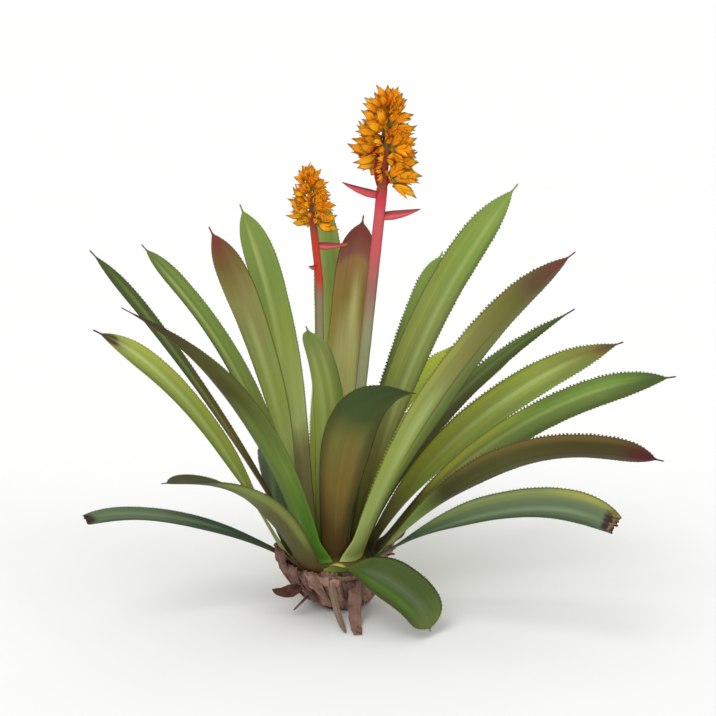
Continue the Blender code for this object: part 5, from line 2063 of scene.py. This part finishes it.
STRIPS = {
    "dry_strip_thick": DryStrip(
        ((0.0195, -0.0600, 0.0520), (0.0190, -0.0700, 0.0100), (0.0175, -0.0720, 0.0030),
         (0.0235, -0.1170, 0.0026)), (1.0, 0.0, 0.0), (0.016, 0.018, 0.018, 0.016, 0.015, 0.014, 0.011),
        0.35, False, HUSK_BROWN),
    "dry_strip_thin": DryStrip(
        ((-0.0115, -0.0655, 0.0520), (-0.0040, -0.0745, 0.0100), (0.0005, -0.0760, 0.0030),
         (0.0075, -0.1130, 0.0018)), (1.0, 0.0, 0.0), (0.009, 0.011, 0.010, 0.009, 0.008, 0.006, 0.003),
        0.30, True, DryFinish(T.STRIP_GREY, T.STRIP_GREY, T.MAUVE_BROWN)),
    "dry_leaf_curled": DryStrip(
        ((-0.0462, -0.0440, 0.0430), (-0.0620, -0.0590, 0.0385), (-0.0760, -0.0600, 0.0320),
         (-0.0890, -0.0560, 0.0390)), (0.25, 0.35, 0.90), (0.006, 0.012, 0.020, 0.023, 0.019, 0.012, 0.005),
        1.35, True, DryFinish(T.UMBER, T.DUSKY_BROWN, T.BURNT)),
    "dry_scrap_right": DryStrip(
        ((0.0440, -0.0204, 0.0572), (0.0540, -0.0240, 0.0640), (0.0640, -0.0280, 0.0800),
         (0.0720, -0.0300, 0.0770)), (-0.342, -0.940, 0.0), (0.010, 0.012, 0.013, 0.012, 0.010, 0.007, 0.004),
        0.8, True, DryFinish(T.PALE_BROWN, T.PALE_BROWN, T.MAUVE_BROWN)),
    "dry_scrap_left": DryStrip(
        ((-0.0411, -0.0372, 0.0260), (-0.0495, -0.0455, 0.0200), (-0.0560, -0.0540, 0.0160),
         (-0.0610, -0.0560, 0.0100)), (0.6, -0.5, 0.6), (0.006, 0.009, 0.010, 0.009, 0.007, 0.005, 0.004),
        1.20, True, DryFinish(T.DEEP_BROWN, T.MAUVE_BROWN, T.BURNT)),
}


@dataclass
class Rosette:
    """Every leaf of the plant."""

    leaves: dict[str, Leaf] = field(default_factory=lambda: LEAVES)

    def build(self) -> None:
        """Make each leaf with its teeth."""
        teeth = ToothedMargin()
        for name, leaf in self.leaves.items():
            leaf.make(name, int(name[-2:]), teeth)


@dataclass
class FlowerSpikes:
    """Both flower spikes."""

    spikes: tuple[Spike, ...] = SPIKES

    def build(self) -> None:
        """Make the stalks and heads, and clear away the pattern floret."""
        floret, spray, sweep = floret_bract(), FloretSpray(), SweptStalk()
        for spike in self.spikes:
            spike.make_stalk(sweep)
            spike.make_head(spray, sweep, floret)
        bpy.data.objects.remove(floret, do_unlink=True)


@dataclass
class DryFoot:
    """The stump, the dry sheaths round it and what hangs from them."""

    sheaths: tuple[DrySheath, ...] = SHEATHS
    flaps: tuple[DrySheath, ...] = FLAPS
    shreds: DryShreds = field(default_factory=DryShreds)
    husks: tuple[DryHusk, ...] = HUSKS
    strips: dict[str, DryStrip] = field(default_factory=lambda: STRIPS)

    FIRST_STRIP_SEED = 40

    def build(self) -> None:
        """Make the sheaths, husks and strips, and dress the stump's own solid."""
        fibres = DryFibres()
        for number, sheath in enumerate(self.sheaths, 1):
            sheath.make(f"dry_sheath_{number}_husk", fibres, f"dry_sheath_{number}")
        for number, flap in enumerate(self.flaps, 1):
            flap.make(f"dry_flap_{number}", fibres)
        self.shreds.build()
        for number, husk in enumerate(self.husks, 1):
            husk.make(f"dry_husk_{number}")
        for seed, (name, strip) in enumerate(self.strips.items(), self.FIRST_STRIP_SEED):
            strip.make(name, seed)
        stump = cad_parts["stump"]
        stump.data.materials.clear()
        stump.data.materials.append(StumpFinish().material("stump"))
        LOG.info("stump: the solid, dressed")


@dataclass
class Studio:
    """A pale floor out to the horizon, soft lights, and a camera level with the photograph's."""

    camera_place: Place = (0.0234, -1.9487, 0.7864)
    camera_tilt: float = 77.0
    lens: float = 77.33
    floor_half: float = 900.0
    floor_rim: float = 30.0
    air: float = 0.78
    lights: tuple[tuple[str, Place, float, float], ...] = (
        ("key_light", (-0.55, -0.75, 1.15), 1.15, 32.0), ("fill_light", (0.9, -0.6, 0.8), 0.45, 50.0))

    CORNERS = ((-1, -1), (1, -1), (1, 1), (-1, 1))
    SENSOR = 36.0
    FURTHEST = 3000.0

    def build(self) -> None:
        """Set the whole stage."""
        self.add_floor()
        for light in self.lights:
            self.add_light(*light)
        world = bpy.data.worlds.new("studio_air")
        world.use_nodes = True
        air = world.node_tree.nodes["Background"].inputs
        air["Color"].default_value, air["Strength"].default_value = (1.0, 1.0, 1.0, 1.0), self.air
        bpy.context.scene.world = world
        bpy.context.scene.view_settings.view_transform = "Standard"
        self.add_camera()

    def add_floor(self) -> None:
        """A wide flat floor, in rings of faces that grow outwards."""
        skin = Skin()
        outline = ((2.0, 0.0), (30.0, 0.0), (self.floor_half, 0.0), (self.floor_half * 1.1, self.floor_rim))
        rings = [[skin.point(Vector((x * half, y * half, height)), {}) for x, y in self.CORNERS]
                 for half, height in outline]
        skin.faces.append(tuple(rings[0]))
        for inner, outer in zip(rings, rings[1:]):
            skin.ring_wall(outer, inner)
        skin.build("floor", FloorFinish().material("floor_chalk"))

    @staticmethod
    def add_light(name: str, source: Place, strength: float, softness: float) -> None:
        """A wide soft light from far away, the same all over the stage.

        Args:
            name: Its name.
            source: The direction that it comes from.
            strength: Its strength.
            softness: The angle that it fills, in degrees.
        """
        light = bpy.data.lights.new(name, "SUN")
        light.energy = strength
        light.angle = math.radians(softness)
        obj = bpy.data.objects.new(name, light)
        obj.location = source
        obj.rotation_euler = (-Vector(source)).to_track_quat("-Z", "Y").to_euler()
        bpy.context.scene.collection.objects.link(obj)

    def add_camera(self) -> None:
        """The camera, at the photograph's viewing angle."""
        data = bpy.data.cameras.new("camera")
        data.lens = self.lens
        data.sensor_width = self.SENSOR
        data.clip_end = self.FURTHEST
        camera = bpy.data.objects.new("camera", data)
        camera.location = self.camera_place
        camera.rotation_euler = (math.radians(self.camera_tilt), 0.0, 0.0)
        bpy.context.scene.collection.objects.link(camera)
        bpy.context.scene.camera = camera


def main() -> None:
    """Build the stage and the plant."""
    logging.basicConfig(level=logging.INFO, format="%(message)s")
    Studio().build()
    DryFoot().build()
    Rosette().build()
    FlowerSpikes().build()


if __name__ == "__main__":
    main()
